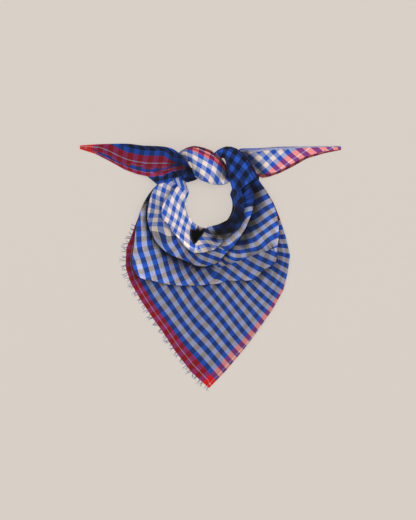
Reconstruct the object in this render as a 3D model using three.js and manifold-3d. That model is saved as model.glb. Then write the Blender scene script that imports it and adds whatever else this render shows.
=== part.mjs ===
// Square gingham scarf, folded corner to corner and tied round the neck opening in a half knot.
// Millimetres, +Z up. The cloth is one sheet: front half, neck fold, back half.
import * as THREE from "three";
import Module from "manifold-3d";

// Sizes of the sheet
const GRID = 1.9; // mm, pitch of the drawing grid that the plan tables count in
const SHEET_THICKNESS = 1.05; // mm
const NECK_X = 209; // grid units, centre of the neck opening
const NECK_Y = 205; // grid units, counted downwards
const ORIGIN_X = 210.47; // grid units, middle of the whole outline
const ORIGIN_Y = 267.13; // grid units
const BACK_GAP = 2.1; // mm, from the back half to the first front run, mid to mid
const RUN_TILT = 0.1; // share of a step that a run rises where its pleat has opened
const GUIDE_STATION = 44; // the straight front station, counted from the right tail's tip

// The drape round the neck: reaches from the neck centre in grid units.
// turn: degrees from straight down, positive to the right. Each fold crest has the depth of its pleat.
const DRAPE = [
  { turn: -122, low: 0, rim: 26, inner: 36, inner_deep: 0, roll: 51, roll_deep: 6, drape: 50.5, drape_deep: 6, hem: 50, back: 48, step: 2.0 },
  { turn: -106, low: 0, rim: 25, inner: 40, inner_deep: 2, roll: 57, roll_deep: 14, drape: 58, drape_deep: 16, hem: 57, back: 54, step: 2.3 },
  { turn: -90, low: 0, rim: 25, inner: 46, inner_deep: 7, roll: 60, roll_deep: 22, drape: 66, drape_deep: 28, hem: 66, back: 62, step: 2.7 },
  { turn: -75, low: 0, rim: 24, inner: 48, inner_deep: 14, roll: 63, roll_deep: 24, drape: 74.5, drape_deep: 34, hem: 76, back: 70, step: 3.0 },
  { turn: -62, low: 0, rim: 24.5, inner: 45, inner_deep: 14, roll: 64, roll_deep: 24, drape: 84.5, drape_deep: 36, hem: 91.5, back: 86, step: 3.1 },
  { turn: -52, low: 0, rim: 25, inner: 45, inner_deep: 13, roll: 64, roll_deep: 23, drape: 97, drape_deep: 40, hem: 101.5, back: 96, step: 3.1 },
  { turn: -44, low: 0, rim: 27, inner: 45, inner_deep: 12, roll: 63.5, roll_deep: 22, drape: 100, drape_deep: 38, hem: 109, back: 104, step: 3.1 },
  { turn: -35, low: 0, rim: 32, inner: 46.5, inner_deep: 9, roll: 62, roll_deep: 20, drape: 93, drape_deep: 30, hem: 117, back: 112, step: 3.0 },
  { turn: -27, low: 0, rim: 38, inner: 48.5, inner_deep: 6, roll: 60.5, roll_deep: 18, drape: 89, drape_deep: 26, hem: 125.5, back: 120, step: 2.9 },
  { turn: -20, low: 0, rim: 40.5, inner: 50, inner_deep: 5, roll: 60.5, roll_deep: 16, drape: 85.5, drape_deep: 23, hem: 135, back: 130, step: 2.8 },
  { turn: -13, low: 0, rim: 31, inner: 49, inner_deep: 9, roll: 61.5, roll_deep: 18, drape: 82.5, drape_deep: 21, hem: 150, back: 145, step: 2.8 },
  { turn: -6, low: 0, rim: 23.5, inner: 47.5, inner_deep: 13, roll: 61.5, roll_deep: 20, drape: 80.5, drape_deep: 20, hem: 168, back: 162, step: 2.8 },
  { turn: 0, low: 0, rim: 22, inner: 46, inner_deep: 14, roll: 60.5, roll_deep: 20, drape: 79.5, drape_deep: 20, hem: 183, back: 174, step: 2.8 },
  { turn: 6, low: 0, rim: 21.5, inner: 45, inner_deep: 14, roll: 59, roll_deep: 20, drape: 79, drape_deep: 20, hem: 166, back: 161, step: 2.9 },
  { turn: 14, low: 0, rim: 21.3, inner: 41.5, inner_deep: 12, roll: 54, roll_deep: 20, drape: 78, drape_deep: 24, hem: 147.5, back: 144, step: 2.9 },
  { turn: 22, low: 0, rim: 21.5, inner: 38.5, inner_deep: 11, roll: 50, roll_deep: 18, drape: 81.5, drape_deep: 30, hem: 133.5, back: 130, step: 3.0 },
  { turn: 31, low: 0, rim: 21.8, inner: 37, inner_deep: 9, roll: 47.5, roll_deep: 16, drape: 86.5, drape_deep: 36, hem: 122.5, back: 119, step: 3.1 },
  { turn: 41, low: 0, rim: 22.5, inner: 36.5, inner_deep: 8, roll: 45, roll_deep: 15, drape: 85, drape_deep: 40, hem: 113, back: 109, step: 3.2 },
  { turn: 49, low: 0, rim: 23.5, inner: 37, inner_deep: 8, roll: 43.5, roll_deep: 14, drape: 87.5, drape_deep: 42, hem: 104, back: 100, step: 3.2 },
  { turn: 58, low: 0, rim: 25, inner: 37, inner_deep: 6, roll: 43, roll_deep: 12, drape: 80.5, drape_deep: 40, hem: 95.5, back: 91.5, step: 3.2 },
  { turn: 68, low: 0, rim: 25.5, inner: 36, inner_deep: 3, roll: 42.5, roll_deep: 11, drape: 75, drape_deep: 38, hem: 82.5, back: 79, step: 3.1 },
  { turn: 80, low: 0, rim: 26, inner: 35.5, inner_deep: 1, roll: 43.5, roll_deep: 11, drape: 69, drape_deep: 34, hem: 71.5, back: 68.5, step: 2.9 },
  { turn: 92, low: 0, rim: 26, inner: 35, inner_deep: 0, roll: 44.5, roll_deep: 10, drape: 63.5, drape_deep: 28, hem: 64.5, back: 61.5, step: 2.6 },
  { turn: 104, low: 2, rim: 26.5, inner: 35, inner_deep: 0, roll: 46, roll_deep: 10, drape: 58.5, drape_deep: 20, hem: 59, back: 56, step: 2.3 },
  { turn: 116, low: 6, rim: 27, inner: 35, inner_deep: 0, roll: 46, roll_deep: 8, drape: 55, drape_deep: 12, hem: 55.5, back: 53, step: 2.0 },
];

// The left neck strand: under the dark tail, round over the dark strand as the knot's wrap,
// down under the right neck strand, then out as the right tail.
// x, y: middle in grid units; facing: degrees of the outer side, counter-clockwise from +X;
// wide: grid units; turn: degrees turned over; low: mm under the stack; step: mm a run;
// open: 0 pleated, 1 unpleated; spread: 1 where the front half lies evenly; hem, back: reach of each half as a share of the width.
const LIGHT_STRAND = [
  { x: 176, y: 180, facing: 162, wide: 20, turn: 0, low: 0, step: 1.75, open: 0, spread: 0, hem: 1, back: 1 },
  { x: 178.5, y: 172, facing: 156, wide: 15, turn: 0, low: 0, step: 1.7, open: 0, spread: 0, hem: 1, back: 1 },
  { x: 180.3, y: 164.5, facing: 150, wide: 13, turn: 0, low: 0, step: 1.7, open: 0, spread: 0, hem: 1, back: 1 },
  { x: 182.8, y: 158, facing: 132, wide: 13.5, turn: 0, low: 0.5, step: 1.7, open: 0, spread: 0, hem: 1, back: 1 },
  { x: 188.5, y: 155, facing: 106, wide: 14.5, turn: 0, low: 8.5, step: 1.7, open: 0, spread: 0, hem: 1, back: 1 },
  { x: 192, y: 155.6, facing: 91, wide: 18, turn: 0, low: 13, step: 1.7, open: 0, spread: 0, hem: 1, back: 1 },
  { x: 193.5, y: 156.8, facing: 84, wide: 21, turn: 0, low: 15, step: 1.7, open: 0, spread: 0, hem: 1, back: 1 },
  { x: 195.5, y: 158.5, facing: 76, wide: 24, turn: 0, low: 16.5, step: 1.7, open: 0, spread: 0, hem: 1, back: 1 },
  { x: 199.2, y: 161.2, facing: 68, wide: 27.5, turn: 0, low: 17.4, step: 1.7, open: 0, spread: 0, hem: 1, back: 1 },
  { x: 203.5, y: 164.3, facing: 61, wide: 31, turn: 0, low: 18, step: 1.7, open: 0, spread: 0, hem: 1, back: 1 },
  { x: 212.3, y: 170.2, facing: 61, wide: 27.5, turn: 0, low: 16.5, step: 1.7, open: 0, spread: 0, hem: 1, back: 1 },
  { x: 219.2, y: 176.7, facing: 64, wide: 18, turn: 0, low: 5.5, step: 1.7, open: 0, spread: 0, hem: 1, back: 1 },
  { x: 225.3, y: 179.2, facing: 78, wide: 11, turn: 0, low: 1, step: 1.6, open: 0, spread: 0, hem: 1, back: 1 },
  { x: 230.3, y: 177.8, facing: 92, wide: 7, turn: 0, low: 0, step: 1.5, open: 0, spread: 0, hem: 1, back: 1 },
  { x: 233, y: 175.8, facing: 101, wide: 6.1, turn: 20, low: 0, step: 1.5, open: 0, spread: 0, hem: 1, back: 1 },
  { x: 235.2, y: 174.7, facing: 107, wide: 6.1, turn: 40, low: 0, step: 1.5, open: 0, spread: 0, hem: 1, back: 1 },
  { x: 237.3, y: 173.4, facing: 111, wide: 6.1, turn: 60, low: 0, step: 1.5, open: 0, spread: 0, hem: 1, back: 1 },
  { x: 239.3, y: 172.1, facing: 114, wide: 6.1, turn: 80, low: 0, step: 1.5, open: 0, spread: 0, hem: 1, back: 1 },
  { x: 241.1, y: 170.9, facing: 116, wide: 6.1, turn: 100, low: 0, step: 1.5, open: 0, spread: 0, hem: 1, back: 1 },
  { x: 242.8, y: 169.8, facing: 117, wide: 6.1, turn: 120, low: 0, step: 1.5, open: 0, spread: 0, hem: 1, back: 1 },
  { x: 244.3, y: 168.8, facing: 118, wide: 6.3, turn: 140, low: 0, step: 1.5, open: 0, spread: 0, hem: 1, back: 1 },
  { x: 245.8, y: 168, facing: 118, wide: 7, turn: 160, low: 0, step: 1.5, open: 0, spread: 0, hem: 1, back: 1 },
  { x: 247, y: 167.2, facing: 118, wide: 9, turn: 180, low: 0, step: 1.5, open: 0, spread: 0, hem: 1, back: 1 },
  { x: 249.2, y: 166.2, facing: 117, wide: 15, turn: 180, low: 0, step: 2, open: 1, spread: 0, hem: 1, back: 0.9 },
  { x: 251.5, y: 165.3, facing: 116, wide: 23, turn: 180, low: 0, step: 1.1, open: 1, spread: 1, hem: 1, back: 0.85 },
  { x: 256, y: 164, facing: 115, wide: 31, turn: 180, low: 0, step: 0.7, open: 1, spread: 1, hem: 1, back: 0.88 },
  { x: 264, y: 162.5, facing: 113, wide: 30.5, turn: 180, low: 0, step: 0.4, open: 1, spread: 1, hem: 1, back: 0.92 },
  { x: 276, y: 160, facing: 109, wide: 27, turn: 180, low: 0, step: 0, open: 1, spread: 1, hem: 1, back: 0.92 },
  { x: 291, y: 156.5, facing: 105, wide: 20, turn: 180, low: 0, step: 0, open: 1, spread: 1, hem: 1, back: 0.86 },
  { x: 306, y: 152.5, facing: 100, wide: 12, turn: 180, low: 0, step: 0, open: 1, spread: 1, hem: 1, back: 0.8 },
  { x: 324, y: 149.8, facing: 97, wide: 7, turn: 180, low: 0, step: 0, open: 1, spread: 1, hem: 1, back: 0.72 },
  { x: 341, y: 148.2, facing: 94, wide: 3.4, turn: 180, low: 0, step: 0, open: 1, spread: 1, hem: 1, back: 0.8 },
];

// The right neck strand: over the light tail, down under the wrap, over the left neck strand,
// then out as the left tail. Columns as above.
const DARK_STRAND = [
  { x: 245.5, y: 182.7, facing: 23, wide: 29.5, turn: 0, low: 10.5, step: 1.85, open: 0, spread: 0, hem: 1, back: 1 },
  { x: 243.5, y: 178.5, facing: 20, wide: 28, turn: 0, low: 14.5, step: 1.7, open: 0, spread: 0, hem: 1, back: 1 },
  { x: 240, y: 169.5, facing: 28, wide: 26, turn: 0, low: 18.5, step: 1.65, open: 0, spread: 0, hem: 1, back: 1 },
  { x: 236, y: 162, facing: 38, wide: 23, turn: 0, low: 19, step: 1.65, open: 0, spread: 0, hem: 1, back: 1 },
  { x: 231, y: 155.5, facing: 50, wide: 17, turn: 0, low: 14, step: 1.65, open: 0, spread: 0, hem: 1, back: 1 },
  { x: 228.2, y: 153.5, facing: 63, wide: 14.5, turn: 0, low: 10, step: 1.65, open: 0, spread: 0, hem: 1, back: 1 },
  { x: 225, y: 152.5, facing: 78, wide: 12, turn: 0, low: 6, step: 1.6, open: 0, spread: 0, hem: 1, back: 1 },
  { x: 219.5, y: 154, facing: 106, wide: 9, turn: 0, low: 0.5, step: 1.5, open: 0, spread: 0, hem: 1, back: 1 },
  { x: 215.5, y: 156.3, facing: 126, wide: 7, turn: 0, low: 0, step: 1.5, open: 0, spread: 0, hem: 1, back: 1 },
  { x: 213.5, y: 158, facing: 130, wide: 6.1, turn: 20, low: 0, step: 1.5, open: 0, spread: 0, hem: 1, back: 1 },
  { x: 211.5, y: 160, facing: 133, wide: 6.1, turn: 40, low: 0, step: 1.5, open: 0, spread: 0, hem: 1, back: 1 },
  { x: 209.6, y: 162, facing: 134, wide: 6.1, turn: 60, low: 0, step: 1.5, open: 0, spread: 0, hem: 1, back: 1 },
  { x: 207.8, y: 163.9, facing: 133, wide: 6.1, turn: 80, low: 0, step: 1.5, open: 0, spread: 0, hem: 1, back: 1 },
  { x: 206, y: 165.7, facing: 132, wide: 6.1, turn: 100, low: 0, step: 1.5, open: 0, spread: 0, hem: 1, back: 1 },
  { x: 204.2, y: 167.4, facing: 130, wide: 6.1, turn: 120, low: 0, step: 1.5, open: 0, spread: 0, hem: 1, back: 1 },
  { x: 202.4, y: 169, facing: 127, wide: 6.3, turn: 140, low: 0, step: 1.5, open: 0, spread: 0, hem: 1, back: 1 },
  { x: 200.8, y: 170.3, facing: 124, wide: 7, turn: 160, low: 0, step: 1.5, open: 0, spread: 0, hem: 1, back: 1 },
  { x: 199.3, y: 171.3, facing: 120, wide: 8, turn: 180, low: 0, step: 1.5, open: 0, spread: 0, hem: 1, back: 1 },
  { x: 196.5, y: 172.9, facing: 112, wide: 12, turn: 180, low: 1.5, step: 2, open: 1, spread: 0, hem: 1, back: 0.9 },
  { x: 193.3, y: 174.6, facing: 104, wide: 12.5, turn: 180, low: 7.5, step: 0.8, open: 1, spread: 1, hem: 1, back: 0.9 },
  { x: 187.5, y: 172.5, facing: 92, wide: 20.5, turn: 180, low: 16, step: 0.6, open: 1, spread: 1, hem: 1, back: 0.85 },
  { x: 179, y: 166, facing: 84, wide: 23, turn: 180, low: 16.6, step: 0.4, open: 1, spread: 1, hem: 1, back: 0.8 },
  { x: 170, y: 165.8, facing: 80, wide: 33, turn: 180, low: 16.5, step: 0.3, open: 1, spread: 1, hem: 1, back: 0.66 },
  { x: 161, y: 166, facing: 78, wide: 38, turn: 180, low: 15.5, step: 0.2, open: 1, spread: 1, hem: 1, back: 0.66 },
  { x: 151, y: 161.5, facing: 77, wide: 31, turn: 180, low: 9.5, step: 0.1, open: 1, spread: 1, hem: 1, back: 0.78 },
  { x: 140, y: 160, facing: 78, wide: 29, turn: 180, low: 3.5, step: 0, open: 1, spread: 1, hem: 1, back: 0.84 },
  { x: 127, y: 156.8, facing: 79, wide: 26, turn: 180, low: 0, step: 0, open: 1, spread: 1, hem: 1, back: 0.84 },
  { x: 112, y: 152.8, facing: 80, wide: 18, turn: 180, low: 0, step: 0, open: 1, spread: 1, hem: 1, back: 0.82 },
  { x: 96, y: 149.2, facing: 82, wide: 9.5, turn: 180, low: 0, step: 0, open: 1, spread: 1, hem: 1, back: 0.8 },
  { x: 80, y: 147.3, facing: 84, wide: 3.4, turn: 180, low: 0, step: 0, open: 1, spread: 1, hem: 1, back: 0.8 },
];

// Puffs of the drape: x, y in grid units, size in grid units, rise as a share of the height.
const PUFFS = [
  { x: 160, y: 222, size: 22, rise: 0.18 },
  { x: 203, y: 262, size: 16, rise: 0.16 },
  { x: 262, y: 225, size: 24, rise: 0.2 },
  { x: 148, y: 262, size: 16, rise: 0.22 },
  { x: 226, y: 300, size: 30, rise: 0.35 },
  { x: 180, y: 320, size: 22, rise: 0.3 },
  { x: 262, y: 262, size: 14, rise: 0.18 },
];

// Frayed edge along the front half's left hem
const FRAY_PARTING = 0.3; // mm, from the cloth's edge to the strip
const FRAY_STRIP = 1.1; // mm, width of the strip that holds the roots
const FRAY_HEIGHT = 0.9; // mm
const FRAY_PITCH = 2.5; // mm between roots
const FRAY_LENGTHS = [7.5, 5.2, 9.4, 6.1, 10.6, 4.6, 8.3]; // mm, repeated along the edge
const FRAY_THREAD = 0.62; // mm, width of one loose thread
const FRAY_FROM = -75; // degrees, the first drape row that frays
const FRAY_TO = 0; // degrees, the last: the front corner

const radians = (degrees) => (degrees * Math.PI) / 180;

// A turn of the sheet between two runs: side is +1 for a crest, -1 for the bottom of a pleat.
function turnPoints(at, side, fromLevel, toLevel, bulge, levels) {
  const out = [];
  for (const angle of side > 0 ? [-90, -32, 32, 90] : [-90, 0, 90]) {
    const share = (Math.sin(radians(angle)) + 1) / 2;
    const rise = levels(fromLevel) * (1 - share) + levels(toLevel) * share;
    out.push([at + side * bulge * (Math.cos(radians(angle)) - 1), rise]);
  }
  return out;
}

// The section of the whole sheet, from the front hem up through the pleats to the neck fold and down
// to the back hem, as [outward mm, upward mm] pairs.
function sectionPoints(reach, levels, open, spread) {
  const turns = [
    { at: reach.drape - reach.drape_deep * (1 - open), side: -1, from: 1 },
    { at: reach.drape, side: 1, from: 2 },
    { at: reach.roll - reach.roll_deep * (1 - open), side: -1, from: 3 },
    { at: reach.roll, side: 1, from: 4 },
    { at: reach.inner - reach.inner_deep * (1 - open), side: -1, from: 5 },
    { at: reach.inner, side: 1, from: 6 },
  ];
  const front = [];
  const first = turns[0].at;
  const hemLevel = levels(reach.hem_level);
  for (const share of [0, 0.07]) {
    const soft = share === 0 ? 0 : 1;
    front.push([reach.hem + (first - reach.hem) * share, hemLevel + (levels(1) - hemLevel) * soft]);
  }
  turns.forEach((turn, i) => {
    const before = i ? turns[i - 1].at : reach.hem;
    const after = i < 5 ? turns[i + 1].at : reach.rim;
    const step = Math.abs(levels(turn.from + 1) - levels(turn.from));
    const room = Math.min(Math.abs(before - turn.at), Math.abs(after - turn.at)) * 0.45;
    const bulge = Math.min(step * 0.62, room);
    const points = turnPoints(turn.at, turn.side, turn.from, turn.from + 1, bulge, levels);
    const lift = RUN_TILT * open * (levels(turn.from + 1) - levels(turn.from));
    if (turn.side > 0) points[0][1] += lift;
    else points[points.length - 1][1] -= lift;
    front.push(...points);
  });
  const last = front[front.length - 1];
  const round = Math.min(Math.abs(levels(7) - levels(0)) * 0.32, 3, Math.abs(last[0] - reach.rim) * 0.5);
  const wall = [];
  const down = levels(0) - levels(7);
  const drop = Math.sign(down) * Math.min(Math.abs(down) * 0.32, 3);
  wall.push([reach.rim + round, levels(7)]);
  wall.push([reach.rim + round * 0.29, levels(7) + drop * 0.29]);
  wall.push([reach.rim, levels(7) + drop]);
  wall.push([reach.back_rim, levels(0) - drop]);
  wall.push([reach.back_rim + round * 0.29, levels(0) - drop * 0.29]);
  wall.push([reach.back_rim + round, levels(0)]);
  const back = [[reach.back, levels(0)]];
  const count = front.length;
  const flat = front.map((point, i) => reach.hem + (reach.rim + round - reach.hem) * (i / count));
  const opened = front.map((point, i) => [
    point[0] * (1 - spread) + flat[i] * spread,
    point[1],
  ]);
  return [...opened, ...wall, ...back];
}

// Both faces of a section: its middle line offset half a thickness to each side.
function facesOf(points) {
  const sides = [[], []];
  points.forEach((point, i) => {
    const before = points[Math.max(i - 1, 0)];
    const after = points[Math.min(i + 1, points.length - 1)];
    let [ox, oy] = [0, 0];
    for (const [a, b] of [
      [before, point],
      [point, after],
    ]) {
      const long = Math.hypot(b[0] - a[0], b[1] - a[1]);
      if (long > 1e-6) {
        ox += (b[0] - a[0]) / long;
        oy += (b[1] - a[1]) / long;
      }
    }
    const long = Math.hypot(ox, oy) || 1;
    [1, -1].forEach((side, k) => {
      const half = (side * SHEET_THICKNESS) / 2 / long;
      sides[k].push([point[0] - oy * half, point[1] + ox * half]);
    });
  });
  return sides;
}

// A station of the drape.
function drapeStation(row) {
  const angle = radians(row.turn - 90);
  const lowest = row.low + SHEET_THICKNESS / 2;
  const levels = (k) => (k <= 0 ? lowest : lowest + BACK_GAP + (k - 1) * row.step);
  const reach = {};
  for (const name of ["rim", "inner", "inner_deep", "roll", "roll_deep", "drape", "drape_deep", "hem", "back"]) {
    reach[name] = row[name] * GRID;
  }
  reach.back_rim = Math.min(reach.rim, 23.5 * GRID);
  reach.hem_level = row.hem - row.back > 4 ? 0 : 1;
  const place = ([outward, up]) => [
    (NECK_X - ORIGIN_X) * GRID + outward * Math.cos(angle),
    (ORIGIN_Y - NECK_Y) * GRID + outward * Math.sin(angle),
    up,
  ];
  return facesOf(sectionPoints(reach, levels, 0, 0)).map((face) => face.map(place));
}

// A station of the knot or of a tail.
function strandStation(row) {
  const levels = (k) => (k <= 0 ? 0 : BACK_GAP + (k - 1) * row.step);
  const half = (row.wide * GRID) / 2;
  const pleat = half * 1.5;
  const reach = {
    rim: -half,
    back_rim: -half,
    inner: half * 0.55,
    inner_deep: pleat * 0.8,
    roll: half * 0.8,
    roll_deep: pleat,
    drape: half * 0.92,
    drape_deep: pleat * 1.1,
    hem: half * (2 * row.hem - 1),
    back: half * (2 * row.back - 1),
    hem_level: 1,
  };
  const height = levels(7);
  const facing = radians(row.facing);
  const turned = radians(row.turn);
  const middle =
    row.low +
    SHEET_THICKNESS / 2 +
    half * Math.abs(Math.sin(turned)) +
    (height / 2) * Math.abs(Math.cos(turned));
  const place = ([outward, up]) => {
    const q = up - height / 2;
    const across = outward * Math.cos(turned) - q * Math.sin(turned);
    const rise = outward * Math.sin(turned) + q * Math.cos(turned);
    return [
      (row.x - ORIGIN_X) * GRID + across * Math.cos(facing),
      (ORIGIN_Y - row.y) * GRID + across * Math.sin(facing),
      middle + rise,
    ];
  };
  return facesOf(sectionPoints(reach, levels, row.open, row.spread)).map((face) => face.map(place));
}

// All stations from the right tail's tip, through the left neck, to the left tail's tip.
const stations = [
  ...[...LIGHT_STRAND].reverse().map(strandStation),
  ...DRAPE.map(drapeStation),
  ...DARK_STRAND.map(strandStation),
];

function puffed([x, y, z]) {
  let rise = 1;
  for (const puff of PUFFS) {
    const dx = x / GRID + ORIGIN_X - puff.x;
    const dy = ORIGIN_Y - y / GRID - puff.y;
    rise += puff.rise * Math.exp(-(dx * dx + dy * dy) / (puff.size * puff.size));
  }
  return [x, y, z <= SHEET_THICKNESS ? z : SHEET_THICKNESS + (z - SHEET_THICKNESS) * rise];
}

// The closed sheet: both faces of every station, joined along the hems and the tips.
function sheetGeometry(rowsOfFaces) {
  const rows = rowsOfFaces.length;
  const columns = rowsOfFaces[0][0].length;
  const positions = [];
  for (const side of [0, 1]) {
    for (const station of rowsOfFaces) {
      for (const point of station[side]) positions.push(...puffed(point));
    }
  }
  const index = [];
  const sheet = rows * columns;
  const quad = (a, b, c, d) => index.push(a, b, c, a, c, d);
  // Neighbouring runs are split along the same diagonal, so that they stay nested where they twist.
  const guide = rowsOfFaces[GUIDE_STATION][0];
  for (let i = 0; i < rows - 1; i++) {
    for (let j = 0; j < columns - 1; j++) {
      const a = i * columns + j;
      const b = a + 1;
      const c = a + columns + 1;
      const d = a + columns;
      const inward = guide[j + 1][1] > guide[j][1];
      if (inward) {
        quad(b, c, d, a);
        quad(b + sheet, a + sheet, d + sheet, c + sheet);
      } else {
        quad(a, b, c, d);
        quad(a + sheet, d + sheet, c + sheet, b + sheet);
      }
    }
  }
  for (let i = 0; i < rows - 1; i++) {
    const a = i * columns;
    const b = a + columns;
    quad(a, b, b + sheet, a + sheet);
    const c = a + columns - 1;
    const d = c + columns;
    quad(d, c, c + sheet, d + sheet);
  }
  for (let j = 0; j < columns - 1; j++) {
    const a = j;
    const b = a + 1;
    quad(b, a, a + sheet, b + sheet);
    const c = (rows - 1) * columns + j;
    const d = c + 1;
    quad(c, d, d + sheet, c + sheet);
  }
  const geometry = new THREE.BufferGeometry();
  geometry.setAttribute("position", new THREE.Float32BufferAttribute(positions, 3));
  geometry.setIndex(index);
  geometry.computeVertexNormals();
  return geometry;
}

const wasm = await Module();
wasm.setup();

// A closed prism on a plan outline, as a solid.
function prism(outline, height) {
  const turned = THREE.ShapeUtils.area(outline.map(([x, y]) => ({ x, y }))) < 0;
  const ring = turned ? [...outline].reverse() : outline;
  return wasm.Manifold.extrude([ring], height);
}

// The edge of the cloth that frays, in mm, from its upper end to the front corner.
function frayedEdge() {
  return DRAPE.filter((row) => row.turn >= FRAY_FROM && row.turn <= FRAY_TO).map((row) => {
    const angle = radians(row.turn - 90);
    return new THREE.Vector2(
      (NECK_X - ORIGIN_X + row.hem * Math.cos(angle)) * GRID,
      (ORIGIN_Y - NECK_Y + row.hem * Math.sin(angle)) * GRID,
    );
  });
}

// The edge moved outward by a distance, with mitred corners.
function movedOut(edge, distance) {
  return edge.map((point, i) => {
    const before = edge[Math.max(i - 1, 0)];
    const after = edge[Math.min(i + 1, edge.length - 1)];
    const a = i > 0 ? point.clone().sub(before).normalize() : after.clone().sub(point).normalize();
    const b = i < edge.length - 1 ? after.clone().sub(point).normalize() : a;
    const along = a.clone().add(b).normalize();
    const miter = 1 / Math.max(0.5, along.dot(a));
    return point.clone().add(new THREE.Vector2(along.y, -along.x).multiplyScalar(distance * miter));
  });
}

function fringeGeometry() {
  const edge = frayedEdge();
  const inner = movedOut(edge, FRAY_PARTING);
  const outer = movedOut(edge, FRAY_PARTING + FRAY_STRIP);
  let solid = prism([...inner, ...[...outer].reverse()].map((p) => [p.x, p.y]), FRAY_HEIGHT);
  const threads = [];
  const roots = movedOut(edge, FRAY_PARTING + FRAY_STRIP * 0.5);
  let count = 0;
  for (let i = 0; i < roots.length - 1; i++) {
    const span = roots[i + 1].clone().sub(roots[i]);
    const places = Math.max(1, Math.round(span.length() / FRAY_PITCH));
    const along = span.clone().normalize();
    const out = new THREE.Vector2(along.y, -along.x);
    for (let k = 0; k < places; k++) {
      const root = roots[i].clone().addScaledVector(span, (k + 0.5) / places);
      const long = FRAY_LENGTHS[count % FRAY_LENGTHS.length];
      const lean = 0.26 * Math.sin(count * 0.55) + 0.1 * Math.sin(count * 0.21);
      const bend = lean + 0.22 * Math.sin(count * 0.37 + 1);
      const first = out.clone().multiplyScalar(Math.cos(lean)).addScaledVector(along, Math.sin(lean));
      const second = out.clone().multiplyScalar(Math.cos(bend)).addScaledVector(along, Math.sin(bend));
      const knee = root.clone().addScaledVector(first, long * 0.5);
      const tip = knee.clone().addScaledVector(second, long * 0.5);
      const half = along.clone().multiplyScalar(FRAY_THREAD / 2);
      threads.push(
        prism(
          [
            [root.x - half.x, root.y - half.y],
            [knee.x - half.x, knee.y - half.y],
            [tip.x - half.x * 0.5, tip.y - half.y * 0.5],
            [tip.x + half.x * 0.5, tip.y + half.y * 0.5],
            [knee.x + half.x, knee.y + half.y],
            [root.x + half.x, root.y + half.y],
          ],
          FRAY_THREAD,
        ),
      );
      count++;
    }
  }
  solid = wasm.Manifold.union([solid, ...threads]);
  const mesh = solid.getMesh();
  const geometry = new THREE.BufferGeometry();
  geometry.setAttribute("position", new THREE.Float32BufferAttribute(mesh.vertProperties, 3));
  geometry.setIndex(Array.from(mesh.triVerts));
  geometry.computeVertexNormals();
  return geometry;
}

const part = new THREE.Group();
part.name = "gingham_scarf";
const cloth = new THREE.Mesh(
  sheetGeometry(stations),
  new THREE.MeshStandardMaterial({ name: "woven_cotton", color: 0x4a62b4, roughness: 0.9 }),
);
cloth.name = "scarf_cloth";
part.add(cloth);

const fringe = new THREE.Mesh(
  fringeGeometry(),
  new THREE.MeshStandardMaterial({ name: "loose_threads", color: 0x5a6890, roughness: 0.95 }),
);
fringe.name = "hem_fringe";
part.add(fringe);

export default part;
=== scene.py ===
"""Square gingham scarf, folded corner to corner, pleated round its neck opening and tied in a half
knot.

It lies flat on a plain pale table and is seen from straight above. Plan places count in drawing
units of PLAN_UNIT mm, x to the right and y downwards, as in the part's source. A station is one
section across the cloth, from its front hem to its back hem: the light strand's come first, from
its free end, then the drape's, then the dark strand's. u and v are mm of cloth from two edges.
"""

import math
from collections import namedtuple

import bpy
import numpy as np
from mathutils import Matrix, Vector, noise


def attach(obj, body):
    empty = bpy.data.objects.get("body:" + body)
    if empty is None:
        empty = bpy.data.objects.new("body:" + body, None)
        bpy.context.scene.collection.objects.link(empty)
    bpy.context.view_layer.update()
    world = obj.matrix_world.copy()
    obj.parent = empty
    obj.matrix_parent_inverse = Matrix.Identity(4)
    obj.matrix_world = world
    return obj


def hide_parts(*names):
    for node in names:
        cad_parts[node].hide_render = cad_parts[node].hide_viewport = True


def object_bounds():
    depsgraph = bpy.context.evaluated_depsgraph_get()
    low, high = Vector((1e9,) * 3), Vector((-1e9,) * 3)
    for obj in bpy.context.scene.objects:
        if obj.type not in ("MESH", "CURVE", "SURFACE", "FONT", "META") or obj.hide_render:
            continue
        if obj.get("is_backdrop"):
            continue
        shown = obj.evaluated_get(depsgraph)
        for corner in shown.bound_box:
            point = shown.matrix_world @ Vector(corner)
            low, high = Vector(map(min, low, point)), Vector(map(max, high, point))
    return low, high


bl_info = {
    "name": "Folded gingham scarf",
    "version": (1, 0, 0),
    "blender": (4, 5, 0),
    "location": "View3D > Sidebar > Gingham Scarf",
    "description": "Drapes a square gingham scarf round its neck opening, with frayed hem threads",
    "category": "Object",
}

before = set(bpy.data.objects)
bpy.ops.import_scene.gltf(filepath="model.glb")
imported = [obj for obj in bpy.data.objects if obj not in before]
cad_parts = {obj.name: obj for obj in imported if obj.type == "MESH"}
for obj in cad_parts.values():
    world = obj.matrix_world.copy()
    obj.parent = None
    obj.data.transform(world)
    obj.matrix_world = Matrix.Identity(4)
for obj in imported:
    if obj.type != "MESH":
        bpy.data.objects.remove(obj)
CAD_LOW, CAD_HIGH = (tuple(corner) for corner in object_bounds())

MM = 0.001
PLAN_UNIT = 1.9  # mm
ORIGIN_X, ORIGIN_Y = 210.47, 267.13
NECK_MIDDLE = (209.0, 205.0)
CAMERA_OVER = (208.0, 260.0)
SOLID_THICKNESS = 1.05  # mm, the sheet that the tables are drawn for
BACK_GAP = 2.1  # mm
RUN_TILT = 0.1

# The cloth, in mm
CLOTH_SIDE = 745.0
CHECK_WIDTH = 9.68
CHECK_PAIR = 2 * CHECK_WIDTH
BORDER_WIDTH = 24.0
CREAM_SHARE = 0.49  # the border's cream line, as a share of its width from the edge
CREAM_HALF_WIDTH = 0.75

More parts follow.
